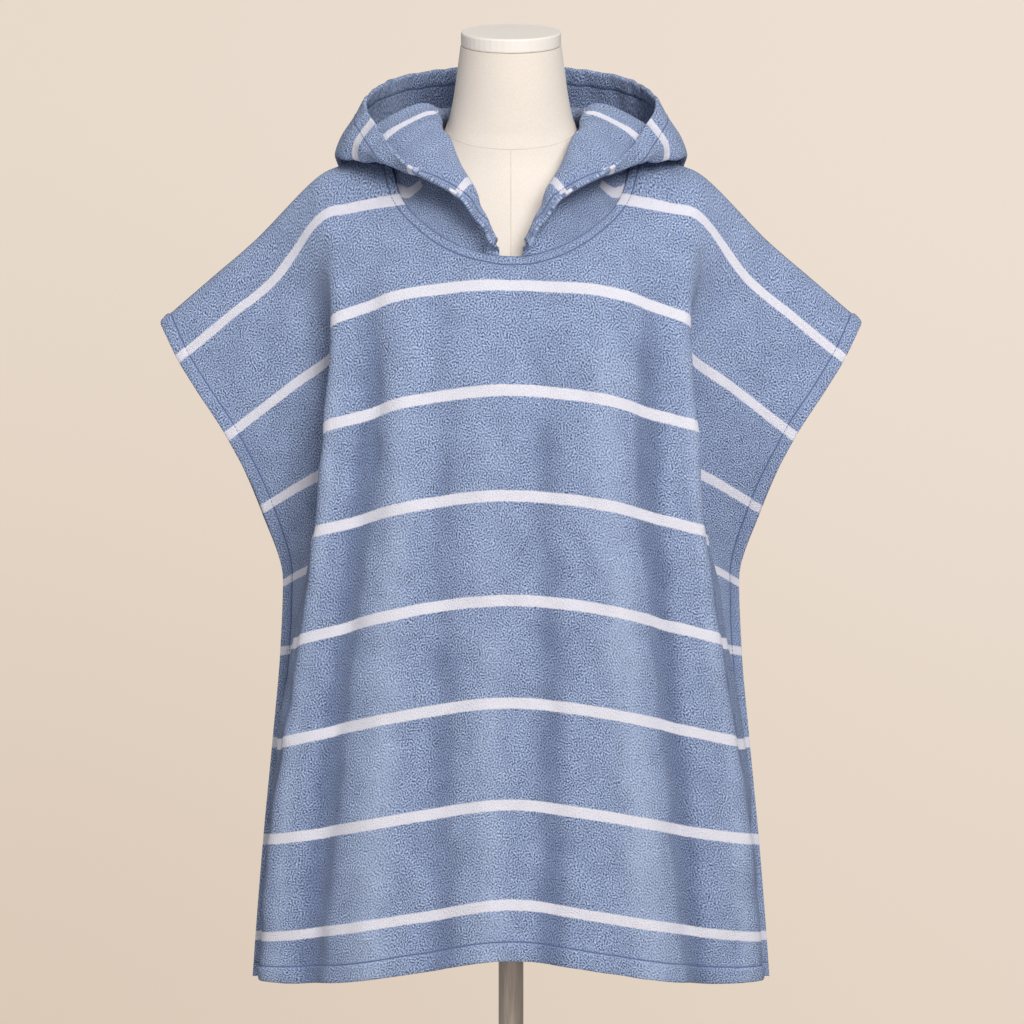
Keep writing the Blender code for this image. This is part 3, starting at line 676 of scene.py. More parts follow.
@dataclass(frozen=True)
class Thread:
    """A row of sewn stitches: the size of one stitch and its spacing."""

    length: float = 0.0033
    pitch: float = 0.0043
    radius: float = 0.00034
    sides: int = 5

    def row(self, line: Points, out: Points) -> tuple[Points, Points]:
        """Stitches along a line on the cloth's face.

        Args:
            line: Points of the line, close together.
            out: Outward direction at each point.

        Returns:
            Vertices and quads of the stitches.
        """
        run = np.concatenate([[0], np.cumsum(np.linalg.norm(np.diff(line, axis=0), axis=1))])
        count = max(int(run[-1] / self.pitch), 1)
        middle = (np.arange(count) + 0.5) * run[-1] / count
        steps, heights, sizes = np.array(STITCH_SHAPE).T
        heights, sizes = heights * self.radius, sizes * self.radius
        at = middle[:, None] + steps[None, :] * self.length
        centre, up = (np.stack([np.interp(at, run, values[:, k]) for k in range(3)], axis=-1)
                      for values in (line, out))
        up = unit(up)
        side = unit(np.cross(np.gradient(centre, axis=1), up))
        centre = centre + up * heights[None, :, None]
        turns = circle(self.sides)
        ring = (side[:, :, None] * np.cos(turns)[None, None, :, None]
                + up[:, :, None] * np.sin(turns)[None, None, :, None])
        verts = centre[:, :, None] + ring * sizes[None, :, None, None]
        first = np.arange(count) * len(steps) * self.sides
        quads = tube_quads(len(steps), self.sides)[None] + first[:, None, None]
        return verts.reshape(-1, 3), quads.reshape(-1, 4)


THREAD = Thread()


def stitched_piece(name: str, rows: list[tuple[Points, Points]],
                   finish: Material) -> Object:
    """One piece that holds all the stitches of these lines of (points, outward directions)."""
    verts, faces, start = [], [], 0
    for line, out in rows:
        made, quads = THREAD.row(line, out)
        verts.append(made)
        faces += (quads + start).tolist()
        start += len(made)
    piece = new_object(name, np.concatenate(verts), faces, finish)
    bpy.ops.object.select_all(action="DESELECT")
    piece.select_set(True)
    bpy.context.view_layer.objects.active = piece
    bpy.ops.object.mode_set(mode="EDIT")
    bpy.ops.mesh.select_all(action="SELECT")
    bpy.ops.mesh.fill_holes(sides=THREAD.sides)
    bpy.ops.mesh.normals_make_consistent(inside=False)
    bpy.ops.object.mode_set(mode="OBJECT")
    piece.select_set(False)
    return piece


@dataclass
class Panel:
    """The front or back panel, with its hems and its rows of stitches."""

    side: Side
    drape: Drape
    cloth: Material
    thread: Material

    @property
    def name(self) -> str:
        """Name of the panel's CAD node."""
        return f"{self.side.name.lower()}_panel"

    def _columns_outside(self) -> Points:
        """u of the columns from the end of the neck strip to the side edge."""
        start, end = NECK_HALF_WIDTH + NECK_STRIP, HALF_WIDTH - SIDE_BAND - FOLD_APPROACH
        open_cloth = np.linspace(start, end, int((end - start) / CLOTH_STEP) + 1)
        hem = HALF_WIDTH - SIDE_BAND + np.array([*STEPS_TO_FOLD, 0.0095, 0.0123, SIDE_BAND])
        return np.concatenate([open_cloth, hem])

    @staticmethod
    def _rounded_corner(u: Points, v: Points) -> Points:
        """Pull the outermost columns in where the panel's corner at the shoulder is rounded."""
        depth = np.clip(1 - np.abs(v) / TIP_RADIUS, 0, 1)
        limit = HALF_WIDTH - TIP_RADIUS * (1 - np.sqrt(1 - depth ** 2))
        start = HALF_WIDTH - CORNER_REACH
        beyond = np.maximum(np.abs(u) - start, 0)
        moved = start + beyond * (limit - start) / CORNER_REACH
        return np.where(beyond > 0, np.sign(u) * moved, u)

    def _finish_values(self, u: Points, v: Points, ring: Points | None) -> tuple[Points, Points]:
        """Thickness of the cloth and distance to the nearest stitches."""
        body, band = LENGTH - HEM, HALF_WIDTH - SIDE_BAND
        seam = np.minimum(np.abs(band - np.abs(u)), np.abs(v - body))
        folded = np.maximum(smooth_step(np.abs(u), band, band + 0.002),
                            smooth_step(v, body, body + FOLD_REACH))
        wall = CLOTH + (FOLDED_CLOTH - CLOTH) * folded
        rim = np.minimum(HALF_WIDTH - np.abs(u), LENGTH - v)
        wall -= folded * edge_loss(rim, *PANEL_HEM_EDGE)
        if ring is not None:
            seam = np.minimum(np.minimum(seam, np.abs(ring - NECK_STITCH)), ring)
            wall -= edge_loss(ring, *PANEL_NECK_EDGE)
        return grooved(wall, seam), np.minimum(seam, SEAM_REACH)

    def _patch(self, u: Points, v: Points, ring: Points | None = None) -> ClothPatch:
        u = self._rounded_corner(u, v)
        points, _ = self.drape.face(u, self.side.value * v)
        wall, seam = self._finish_values(u, v, ring)
        chart = np.stack([u + CHART_OFFSETS.get(self.name, 0.0), v], axis=-1)
        # Painted highlight on fold ridges and painted shade in fold hollows.
        painted_fold_light = self.drape.painted_fold_light(u.ravel(), self.side.value * v.ravel()).reshape(u.shape)
        return ClothPatch(points, chart, v.copy(), wall, seam, np.zeros_like(u), painted_fold_light)

    def patches(self) -> list[ClothPatch]:
        """The strip round the neckline and the rest of the panel."""
        turns = np.arange(-90, 90 + NECK_STEP_DEG / 2, NECK_STEP_DEG)
        turns_here = 180 - turns if self.side is Side.BACK else turns
        strip = np.array(NECK_STRIP_STEPS)
        ring_u, ring_v = neckline(turns_here[None, :], -strip[:, None])
        ring_v = np.maximum(np.abs(ring_v), SHOULDER_SEAM_V)
        ring = np.broadcast_to(strip[:, None], ring_u.shape)
        outside = self._columns_outside()
        shoulder_v = np.full(len(outside) - 1, SHOULDER_SEAM_V)
        top_u = np.concatenate([-outside[:0:-1], ring_u[-1], outside[1:]])
        top_v = np.concatenate([shoulder_v, ring_v[-1], shoulder_v])
        body = LENGTH - HEM
        last = body - FOLD_APPROACH
        falls = np.linspace(0, 1, BODY_ROWS)[:, None]
        v = top_v[None, :] + (last - top_v[None, :]) * falls
        even_u = np.concatenate([-outside[:0:-1], np.linspace(-outside[0], outside[0], len(turns)),
                                 outside[1:]])
        spread = 1 - (1 - falls) ** COLUMN_SPREAD
        u = top_u[None, :] * (1 - spread) + even_u[None, :] * spread
        hem = body + np.array([*STEPS_TO_FOLD, 0.010, 0.0145, 0.0182, HEM])
        v = np.concatenate([v, np.broadcast_to(hem[:, None], (len(hem), len(top_u)))])
        u = np.concatenate([u, np.broadcast_to(u[-1:], (len(hem), len(top_u)))])
        return [self._patch(ring_u, ring_v, ring), self._patch(u, v)]

    def _line(self, u: Points, v: Points, wall: float) -> list[tuple[Points, Points]]:
        """A line of stitches on both faces of the cloth."""
        points, out = self.drape.face(u, self.side.value * v)
        return [(points + out * wall, out), (points, -out)]

    def build(self) -> Object:
        """Returns:
            The panel.
        """
        piece = cloth_object(f"{self.name}_cloth", self.patches(), self.side is Side.BACK,
                             self.cloth)
        declare(piece, self.name)
        stitches = self._stitches()
        LOG.info("%s: %d faces", piece.name, len(piece.data.polygons))
        return piece

    def _stitches(self) -> list[Object]:
        """The rows down both side bands, along the hem and round the neckline."""
        body = LENGTH - HEM
        sides, wall = [], STITCHED_CLOTH + STITCH_LIFT
        for sign in (-1, 1):
            v = np.linspace(2 * STITCH_ENDS, LENGTH - STITCH_ENDS, SIDE_LINE_POINTS)
            sides += self._line(np.full_like(v, sign * (HALF_WIDTH - SIDE_BAND)), v, wall)
        reach = HALF_WIDTH - STITCH_ENDS
        u = np.linspace(-reach, reach, HEM_LINE_POINTS)
        hem = self._line(u, np.full_like(u, body), wall)
        turns = np.linspace(-89, 89, NECK_LINE_POINTS)
        if self.side is Side.BACK:
            turns = 180 - turns
        ring_u, ring_v = neckline(turns, -NECK_STITCH)
        neck = self._line(ring_u, np.abs(ring_v), wall)
        made = []
        for label, rows in (("side", sides), ("hem", hem), ("neck", neck)):
            piece = stitched_piece(f"{self.name}_{label}_stitches", rows, self.thread)
            declare(piece)
            made.append(piece)
        return made


@dataclass
class HoodHalf:
    """One half of the hood, open and lying down behind the neck."""

    hand: Hand
    drape: Drape
    cloth: Material
    thread: Material

    def __post_init__(self) -> None:
        """Lay out the paths and the stripes' places on them."""
        self.degrees = np.append(np.arange(6, 180, HOOD_STEP_DEG), 180.0)
        corners = smooth_table(with_mirrored_end(HOOD_PATHS, slice(1, None, 3)), self.degrees)
        corners = corners.reshape(len(self.degrees), -1, 3)
        feet = [self.drape.plain(*neckline(self.degrees, inwards))[:, None]
                for inwards in (SEAM_GAP, HOOD_FOOT)]
        paths = rounded_paths(np.concatenate(feet + [corners], axis=1), PATH_STEPS)
        warps = smooth_table(with_mirrored_end(HOOD_WARP, slice(0)), self.degrees)
        at = np.arange(paths.shape[1]) / PATH_STEPS
        knots = np.arange(warps.shape[1])
        warp = np.stack([np.interp(at, knots, row) for row in warps])
        self.paths = np.concatenate([paths, warp[..., None]], axis=2)
        self.lengths = path_lengths(paths)[:, -1]

    @property
    def name(self) -> str:
        """Name of the CAD node."""
        return f"hood_{self.hand.name.lower()}"

    def _shares(self) -> Points:
        """Shares of each path's length at which the mesh is cut."""
        hem = RIM_HEM - np.array([-0.006, *STEPS_TO_FOLD, 0.010, 0.014, 0.0163, RIM_HEM])
        start = np.maximum(1 - hem[0] / self.lengths, 0.3)
        body = np.linspace(0, 1, HOOD_COLUMNS)[None, :-1] * start[:, None]
        near = 1 - hem[None, :] / hem[0] * (1 - start)[:, None]
        return np.concatenate([body, near], axis=1)

    def _lumps(self, along: Points, from_neck: Points, from_rim: Points) -> Points:
        """Unevenness of the cloth, finer and stronger along the rim behind the neck."""
        rim_lumps = uneven(RIM_LUMPS, along, from_neck)
        rim_lumps *= smooth_step(self.degrees, *RIM_LUMP_DEGREES)[:, None]
        return uneven(HOOD_LUMPS, along, from_neck) + rim_lumps * (
            1 - smooth_step(from_rim, *RIM_LUMP_REACH))

    @staticmethod
    def _finish_values(from_neck: Points, from_rim: Points) -> tuple[Points, Points]:
        """Thickness of the cloth and distance to the nearest stitches."""
        centre = np.full_like(from_neck, SEAM_REACH)
        centre[-2], centre[-1] = HOOD_SEAM_FLAT, 0.0
        from_stitches = np.abs(from_rim - RIM_HEM)
        seam = np.minimum(np.minimum(from_stitches, centre), from_neck)
        folded = smooth_step(RIM_HEM - from_rim, 0.0, FOLD_REACH)
        wall = CLOTH + (RIM_CLOTH - CLOTH) * folded
        wall -= folded * edge_loss(from_rim, *HOOD_HEM_EDGE) + edge_loss(from_neck, *HOOD_NECK_EDGE)
        wall[-1] -= HOOD_NECK_EDGE[0]
        return grooved(wall, from_stitches), np.minimum(seam, SEAM_REACH)

    @staticmethod
    def _plain_places(degrees: Points, shares: Points) -> Points:
        """1 where the hood carries no stripe."""
        plain = np.zeros_like(shares)
        for low, high, near, far in HOOD_PLAIN:
            inside = within(degrees, low, high, 1.0) * within(shares, near, far, 0.01)
            plain = np.maximum(plain, inside)
        return plain

    def patch(self) -> ClothPatch:
        """The half's grid: rows run round the neckline, columns from the neckline to the rim."""
        shares = self._shares()
        read = np.stack([read_along(self.paths, column) for column in shares.T], axis=1)
        points, warp = read[..., :3].copy(), read[..., 3]
        from_neck, from_rim = shares * self.lengths[:, None], (1 - shares) * self.lengths[:, None]
        rim_run = path_lengths(points[None, :, -1])[0]
        along = rim_run[:, None] * np.ones_like(shares)
        calm = smooth_step(from_neck, *NECK_CALM) * smooth_step(rim_run[-1] - along, *SEAM_CALM)
        lumps = self._lumps(along, from_neck, from_rim) * calm
        points += surface_normals(points, flip=False) * lumps[..., None]
        points[-1, :, 0] = SEAM_GAP / 2
        beside = points[-1] + (HOOD_SEAM_FLAT, 0, 0)
        points = np.concatenate([points[:-1], beside[None], points[-1:]])
        points[..., 0] *= self.hand.value
        degrees = np.repeat(self.degrees[:, None], warp.shape[1], axis=1)
        # The last row of the others is repeated for the one beside the seam.
        warp, from_neck, from_rim, along, shares, degrees = (
            np.concatenate([values, values[-1:]])
            for values in (warp, from_neck, from_rim, along, shares, degrees))
        along[-2] -= HOOD_SEAM_FLAT
        wall, seam = self._finish_values(from_neck, from_rim)
        chart = np.stack([self.hand.value * along + CHART_OFFSETS[self.name], from_neck], axis=-1)
        return ClothPatch(points, chart, warp, wall, seam, self._plain_places(degrees, shares),
                          np.zeros_like(warp))

    def flat_area(self, patch: ClothPatch) -> float:
        """Flat area of the half, which the hood's soft cloth doesn't stretch."""
        down = np.diff(patch.points, axis=0)[:, :-1]
        across = np.diff(patch.points, axis=1)[:-1]
        return float(np.linalg.norm(np.cross(down, across), axis=2).sum())

    def build(self) -> Object:
        """Returns:
            The half of the hood.
        """
        patch = self.patch()
        piece = cloth_object(f"{self.name}_cloth", [patch], self.hand is Hand.LEFT, self.cloth)
        declare(piece, self.name)
        out = surface_normals(patch.points, flip=self.hand is Hand.LEFT)
        hem_column = HOOD_COLUMNS + STEPS_TO_FOLD.index(0.0)
        line, up = patch.points[:, hem_column], out[:, hem_column]
        rows = [(line + up * (STITCHED_CLOTH + STITCH_LIFT), up), (line, -up)]
        line, up = patch.points[-2, 3:-2], out[-3, 3:-2]
        rows += [(line + up * (CLOTH + 0.0001), up), (line, -up)]
        stitches = stitched_piece(f"{self.name}_stitches", rows, self.thread)
        declare(stitches)
        area = self.flat_area(patch)
        LOG.info("%s: %d faces, %.3f m2", piece.name, len(piece.data.polygons), area)
        return piece


@dataclass
class DressForm:
    """The padded form under its jersey cover, with its seams."""

    jersey: Material
    seam_thread: Material
    segments: int = 128
    seam_height: float = 1.4233     # of the neck seam at the sides of the neck
    seam_y: float = 0.010
    seam_slope: float = 0.568       # rise of the neck seam towards the back
    seam_radius: float = 0.0004
    seam_search: tuple[float, float] = (1.36, 1.50)     # heights that enclose the neck seam
    halvings: int = 24
    seam_foot: float = 0.84         # where the seams down the front and the back end
    seam_axis_y: float = 0.005      # the axis away from which the seams rise
    seam_sides: int = 6
    seam_width: float = 1.2         # in radii, as is its rise over the cover
    seam_rise: float = 0.7

    def _heights(self) -> Points:
        table = np.array(TORSO_SECTIONS)
        rows = [np.linspace(low, high, max(int((high - low) / FORM_STEP), 2), endpoint=False)
                for low, high in zip(table[:-1, 0], table[1:, 0])]
        return np.concatenate(rows + [table[-1:, 0]])

    @staticmethod
    def surface(angles: Points, heights: Points) -> Points:
        """Points of the form at angles round it, 0 at +X, and heights of its sections."""
        width, front, back, tilt, squareness = smooth_table(np.array(TORSO_SECTIONS), heights).T
        middle, depth = (front + back) / 2, (back - front) / 2
        c, s = np.cos(angles), np.sin(angles)
        x = width * np.sign(c) * np.abs(c) ** (2 / squareness)
        y = depth * np.sign(s) * np.abs(s) ** (2 / squareness)
        return np.stack([x, middle + y, heights + y * np.tan(np.radians(tilt))], axis=-1)

    def _seam_lines(self) -> list[Points]:
        """The neck seam and the seams down the centre front and back."""
        angles = np.linspace(0, 2 * math.pi, 181)
        low, high = (np.full_like(angles, height) for height in self.seam_search)
        for _ in range(self.halvings):
            middle = (low + high) / 2
            points = self.surface(angles, middle)
            plane = self.seam_height + (points[:, 1] - self.seam_y) * self.seam_slope
            above = points[:, 2] > plane
            high, low = np.where(above, middle, high), np.where(above, low, middle)
        lines = [self.surface(angles, (low + high) / 2)]
        quarter = len(angles) // 4
        for turn, top in ((-math.pi / 2, low[3 * quarter]), (math.pi / 2, low[quarter])):
            heights = np.linspace(self.seam_foot, float(top), 260)
            lines.append(self.surface(np.full_like(heights, turn), heights))
        return lines

    def build(self) -> Object:
        """Make the form and its seams.

        Returns:
            The form.
        """
        heights = self._heights()
        angles = np.linspace(0, 2 * math.pi, self.segments, endpoint=False)
        grid = self.surface(np.tile(angles, len(heights)), np.repeat(heights, self.segments))
        rows, n = len(heights), self.segments
        faces = tube_quads(rows, n).tolist()
        faces += [list(range(n - 1, -1, -1)), list(range((rows - 1) * n, rows * n))]
        piece = new_object("dress_form", grid, faces, self.jersey)
        piece.data.set_sharp_from_angle(angle=math.radians(50))
        declare(piece, "torso")
        for label, line in zip(("neck", "front", "back"), self._seam_lines()):
            seam = self._seam(f"form_{label}_seam", line)
            declare(seam)
        LOG.info("%s: %d faces", piece.name, len(piece.data.polygons))
        return piece

    def _seam(self, name: str, line: Points) -> Object:
        """A thin ridge along a line, half sunk in the cover."""
        out = line - np.array([0.0, self.seam_axis_y, 0.0])
        out[:, 2] = 0
        ahead = unit(np.gradient(line, axis=0))
        side = unit(np.cross(ahead, unit(out)))
        out = np.cross(side, ahead)
        turns, n = circle(self.seam_sides), self.seam_sides
        ring = (side[:, None] * np.cos(turns)[None, :, None] * self.seam_width
                + out[:, None] * np.sin(turns)[None, :, None] * self.seam_rise)
        verts = (line[:, None] + ring * self.seam_radius).reshape(-1, 3)
        faces = tube_quads(len(line), n).tolist()
        faces += [list(range(n - 1, -1, -1)), list(range(len(verts) - n, len(verts)))]
        return new_object(name, verts, faces, self.seam_thread)


class Nodes:
    """Short ways of placing shader nodes in one tree."""

    MIX_INPUTS = (0, 6, 7)      # factor and the two colours of a Mix node
    MIX_OUTPUT = 2

    def __init__(self, tree: Tree) -> None:
        """Remember the tree."""
        self.tree = tree

    def add(self, kind: str, values: dict | None = None, **settings: object) -> Node:
        """Place a node.

        Args:
            kind: Node type without its ShaderNode prefix.
            values: Socket name or index to a value, or to an output socket to link.
            **settings: Properties of the node.

        Returns:
            The node.
        """
        node = self.tree.nodes.new("ShaderNode" + kind)
        for key, value in settings.items():
            setattr(node, key, value)
        self.feed(node, values or {})
        return node

    def feed(self, node: Node, values: dict) -> None:
        """Link or set sockets of a node, by name or index."""
        for key, value in values.items():
            if isinstance(value, Socket):
                self.tree.links.new(value, node.inputs[key])
            else:
                node.inputs[key].default_value = value

    def math(self, operation: str, *values: object) -> Socket:
        """Result of a Math node."""
        return self.add("Math", dict(enumerate(values)), operation=operation).outputs[0]

    def mix(self, factor: object, first: object, second: object) -> Socket:
        """Result of mixing two colours."""
        values = dict(zip(self.MIX_INPUTS, (factor, first, second)))
        return self.add("Mix", values, data_type="RGBA").outputs[self.MIX_OUTPUT]

    def vector(self, operation: str, first: Socket, second: object) -> Socket:
        """Result of a Vector Math node on two vectors, or on a vector and a scale."""
        key = "Scale" if operation == "SCALE" else 1
        return self.add("VectorMath", {0: first, key: second}, operation=operation).outputs[0]

    def noise(self, place: Socket, scale: object, dimensions: str = "2D", **values: float) -> Node:
        """A Noise node; values are its other inputs, in lower case."""
        inputs = {"Vector": place, "Scale": scale}
        inputs.update({key.title(): value for key, value in values.items()})
        return self.add("TexNoise", inputs, noise_dimensions=dimensions)

    def ramp(self, value: Socket, low: float, high: float, start: float = 0.0,
             end: float = 1.0) -> Socket:
        """Smooth map of a value from low..high to start..end."""
        node = self.add("MapRange", {"Value": value, "From Min": low, "From Max": high,
                                     "To Min": start, "To Max": end},
                        interpolation_type="SMOOTHSTEP")
        return node.outputs["Result"]


def new_group(name: str, inputs: dict[str, str],
              outputs: dict[str, str]) -> tuple[Nodes, Node, Node]:
    """An empty shader group.

    Args:
        name: Name of the group.
        inputs: Socket names and whether each is Float, Vector or Color.
        outputs: The same for the outputs.

    Returns:
        The nodes, the group's input node and its output node.
    """
    tree = bpy.data.node_groups.new(name, "ShaderNodeTree")
    for sockets, way in ((inputs, "INPUT"), (outputs, "OUTPUT")):
        for label, kind in sockets.items():
            tree.interface.new_socket(label, in_out=way, socket_type="NodeSocket" + kind)
    return Nodes(tree), tree.nodes.new("NodeGroupInput"), tree.nodes.new("NodeGroupOutput")


def towelling_group() -> Tree:
    """Looped pile: curling rows of loops, a fine grain and the woven stripes."""
    nodes, given, result = new_group(
        "towelling_pile", {"Chart": "Vector", "Warp": "Float", "Seam": "Float", "Plain": "Float"},
        dict.fromkeys(("Loops", "Grain", "Stripe", "Height", "Cloudy"), "Float"))
    mm = nodes.vector("SCALE", given.outputs["Chart"], 1000.0)
    bend = nodes.noise(mm, 0.16, detail=1.0).outputs["Color"]
    shift = nodes.vector("SUBTRACT", bend, (0.5, 0.5, 0.5))
    place = nodes.vector("ADD", mm, nodes.vector("SCALE", shift, 2.4))
    curls = nodes.add("TexGabor", {"Vector": place, "Scale": 0.19, "Frequency": 1.75,
                                   "Anisotropy": 0.0}, gabor_type="2D").outputs["Value"]
    grain = nodes.noise(mm, 0.95, detail=2.0, roughness=0.6).outputs["Fac"]
    cloud = nodes.noise(mm, 0.035, detail=3.0).outputs["Fac"]
    jitter = nodes.noise(mm, 0.30, detail=2.0).outputs["Fac"]
    jitter = nodes.math("MULTIPLY", nodes.math("SUBTRACT", jitter, 0.5), 0.0014)
    warp = nodes.math("ADD", given.outputs["Warp"], jitter)
    off = nodes.math("SUBTRACT", warp, STRIPE_START)
    off = nodes.math("ABSOLUTE", nodes.math("WRAP", off, STRIPE_PITCH / 2, -STRIPE_PITCH / 2))
    half = STRIPE_WIDTH / 2
    stripe = nodes.ramp(off, half - 0.0008, half + 0.0008, 1.0, 0.0)
    stripe = nodes.math("MULTIPLY", stripe, nodes.math("SUBTRACT", 1.0, given.outputs["Plain"]))
    near = nodes.ramp(given.outputs["Seam"], 0.0, 0.004, 1.0, 0.0)
    pressed = nodes.math("MAXIMUM", nodes.math("MULTIPLY", stripe, 0.62),
                         nodes.math("MULTIPLY", near, 0.55))
    raised = nodes.math("SUBTRACT", 1.0, pressed)
    loops = nodes.math("MULTIPLY", nodes.math("SUBTRACT", curls, 0.5), raised)
    height = nodes.math("ADD", loops, nodes.math("MULTIPLY", grain, 0.45))
    nodes.feed(result, {"Loops": loops, "Grain": grain, "Stripe": stripe, "Height": height,
                        "Cloudy": cloud})
    return nodes.tree


def grain_group() -> Tree:
    """Fine irregular grain with slow cloudiness, for knit, paint and metal."""
    nodes, given, result = new_group(
        "fine_grain", {"Place": "Vector", "Grain Scale": "Float", "Cloud Scale": "Float"},
        {"Grain": "Float", "Cloud": "Float"})
    place, grain_scale, cloud_scale = (given.outputs[i] for i in range(3))
    fine = nodes.noise(place, grain_scale, "3D", detail=3.0, roughness=0.65)
    slow = nodes.noise(place, cloud_scale, "3D", detail=3.0)
    nodes.feed(result, {"Grain": fine.outputs["Fac"], "Cloud": slow.outputs["Fac"]})
    return nodes.tree


def new_material(name: str) -> tuple[Material, Nodes, Node]:
    """A material with its nodes and its Principled shader."""
    made = bpy.data.materials.new(name)
    made.use_nodes = True
    return made, Nodes(made.node_tree), made.node_tree.nodes["Principled BSDF"]


def shade(base: Triple, by: float) -> tuple[float, float, float, float]:
    """The colour times a factor, as a socket wants it."""
    return (*(channel * by for channel in base), 1.0)


@dataclass(frozen=True)
class Towelling:
    """Cotton terry loops, dyed blue, with undyed stripes."""

    pile: Tree
    deep: Triple = (0.078, 0.112, 0.228)
    middle: Triple = (0.285, 0.368, 0.598)
    pale: Triple = (0.570, 0.685, 0.920)
    stripe: Triple = (0.850, 0.842, 0.945)
    sheen: float = 0.30
    relief: float = 0.0026

    def material(self) -> Material:
        """The shader of the cloth."""
        made, nodes, shader = new_material("towelling")
        chart = nodes.add("Attribute", attribute_name="chart").outputs["Vector"]
        warp, seam, plain, painted_fold_light = (nodes.add("Attribute", attribute_name=label).outputs["Fac"]
                                     for label in ("warp", "seam", "plain", "painted_fold_light"))
        pile = nodes.add("Group", node_tree=self.pile)
        nodes.feed(pile, {"Chart": chart, "Warp": warp, "Seam": seam, "Plain": plain})
        fine = nodes.math("SUBTRACT", pile.outputs["Grain"], 0.5)
        tone = nodes.math("ADD", pile.outputs["Loops"], nodes.math("MULTIPLY", fine, 0.8))
        light = nodes.ramp(tone, 0.0, 0.22)
        dark = nodes.ramp(tone, -0.22, 0.0, 1.0, 0.0)
        colour = nodes.mix(light, shade(self.middle, 1.0), shade(self.pale, 1.0))
        colour = nodes.mix(dark, colour, shade(self.deep, 1.0))
        cloud = nodes.ramp(pile.outputs["Cloudy"], 0.3, 0.7, 0.0, 0.16)
        colour = nodes.mix(cloud, colour, shade(self.deep, 1.2))
        # Painted highlight: fold ridges and the crest's edge are made paler.
        colour = nodes.mix(nodes.ramp(painted_fold_light, 0.0, 1.0, 0.0, 0.30), colour, shade(self.pale, 1.0))
        # Painted shade: the insides of folds and the hollow beyond the crest are made darker.
        colour = nodes.mix(nodes.ramp(painted_fold_light, -1.0, 0.0, 0.52, 0.0), colour, shade(self.deep, 1.0))
        sunk = nodes.ramp(seam, 0.0, 0.0014, 0.85, 0.0)
        colour = nodes.mix(sunk, colour, shade(self.deep, 0.9))
        speck = nodes.ramp(pile.outputs["Grain"], 0.3, 0.7)
        stripe = nodes.mix(speck, shade(self.stripe, 0.88), shade(self.stripe, 1.0))
        colour = nodes.mix(pile.outputs["Stripe"], colour, stripe)
        bump = nodes.add("Bump", {"Height": pile.outputs["Height"], "Strength": 1.0,
                                  "Distance": self.relief})
        nodes.feed(shader, {"Base Color": colour, "Normal": bump.outputs["Normal"],
                            "Roughness": 0.95, "Specular IOR Level": 0.15,
                            "Sheen Weight": self.sheen, "Sheen Roughness": 0.45,
                            "Sheen Tint": (0.70, 0.80, 1.0, 1.0)})
        return made


@dataclass(frozen=True)
class GrainedFinish:
    """A finish of one colour with a fine grain: thread, jersey, paint or metal."""

    name: str
    grain: Tree
    colour: Triple
    roughness: float
    contrast: float = 0.1
    cloud: float = 0.05
    grain_scale: float = 900.0
    cloud_scale: float = 14.0
    stretch: Triple = (1.0, 1.0, 1.0)
    relief: float = 0.0002
    strength: float = 0.3
    metallic: float = 0.0
    sheen: float = 0.0

    def material(self) -> Material:
        """The shader of the finish."""
        made, nodes, shader = new_material(self.name)
        place = nodes.add("TexCoord").outputs["Object"]
        place = nodes.add("Mapping", {"Vector": place, "Scale": self.stretch}).outputs["Vector"]
        grain = nodes.add("Group", {"Place": place, "Grain Scale": self.grain_scale,
                                    "Cloud Scale": self.cloud_scale}, node_tree=self.grain)
        fine = nodes.ramp(grain.outputs["Grain"], 0.3, 0.7)
        slow = nodes.ramp(grain.outputs["Cloud"], 0.3, 0.7)
        colour = nodes.mix(fine, shade(self.colour, 1 - self.contrast),
                           shade(self.colour, 1 + self.contrast))
        slow = nodes.math("MULTIPLY", slow, self.cloud)
        colour = nodes.mix(slow, colour, shade(self.colour, 0.55))
        rough = nodes.ramp(grain.outputs["Grain"], 0.25, 0.75, self.roughness - 0.06,
                           self.roughness + 0.06)
        bump = nodes.add("Bump", {"Height": grain.outputs["Grain"], "Strength": self.strength,
                                  "Distance": self.relief})
        nodes.feed(shader, {"Base Color": colour, "Roughness": rough,
                            "Normal": bump.outputs["Normal"], "Metallic": self.metallic,
                            "Sheen Weight": self.sheen})
        return made


LAMPS = (
    # name, place, aim, size, watts, colour
    ("key", (0.95, -3.50, 2.60), (0.0, 0.0, 0.86), 1.6, 119.0, (1.0, 0.985, 0.965)),
    ("top", (0.35, -0.9, 3.3), (0.0, 0.0, 1.1), 2.2, 15.0, (1.0, 0.985, 0.965)),
    ("fill", (-3.0, -2.6, 1.6), (0.0, 0.0, 1.0), 2.2, 12.0, (1.0, 0.98, 0.96)),
)


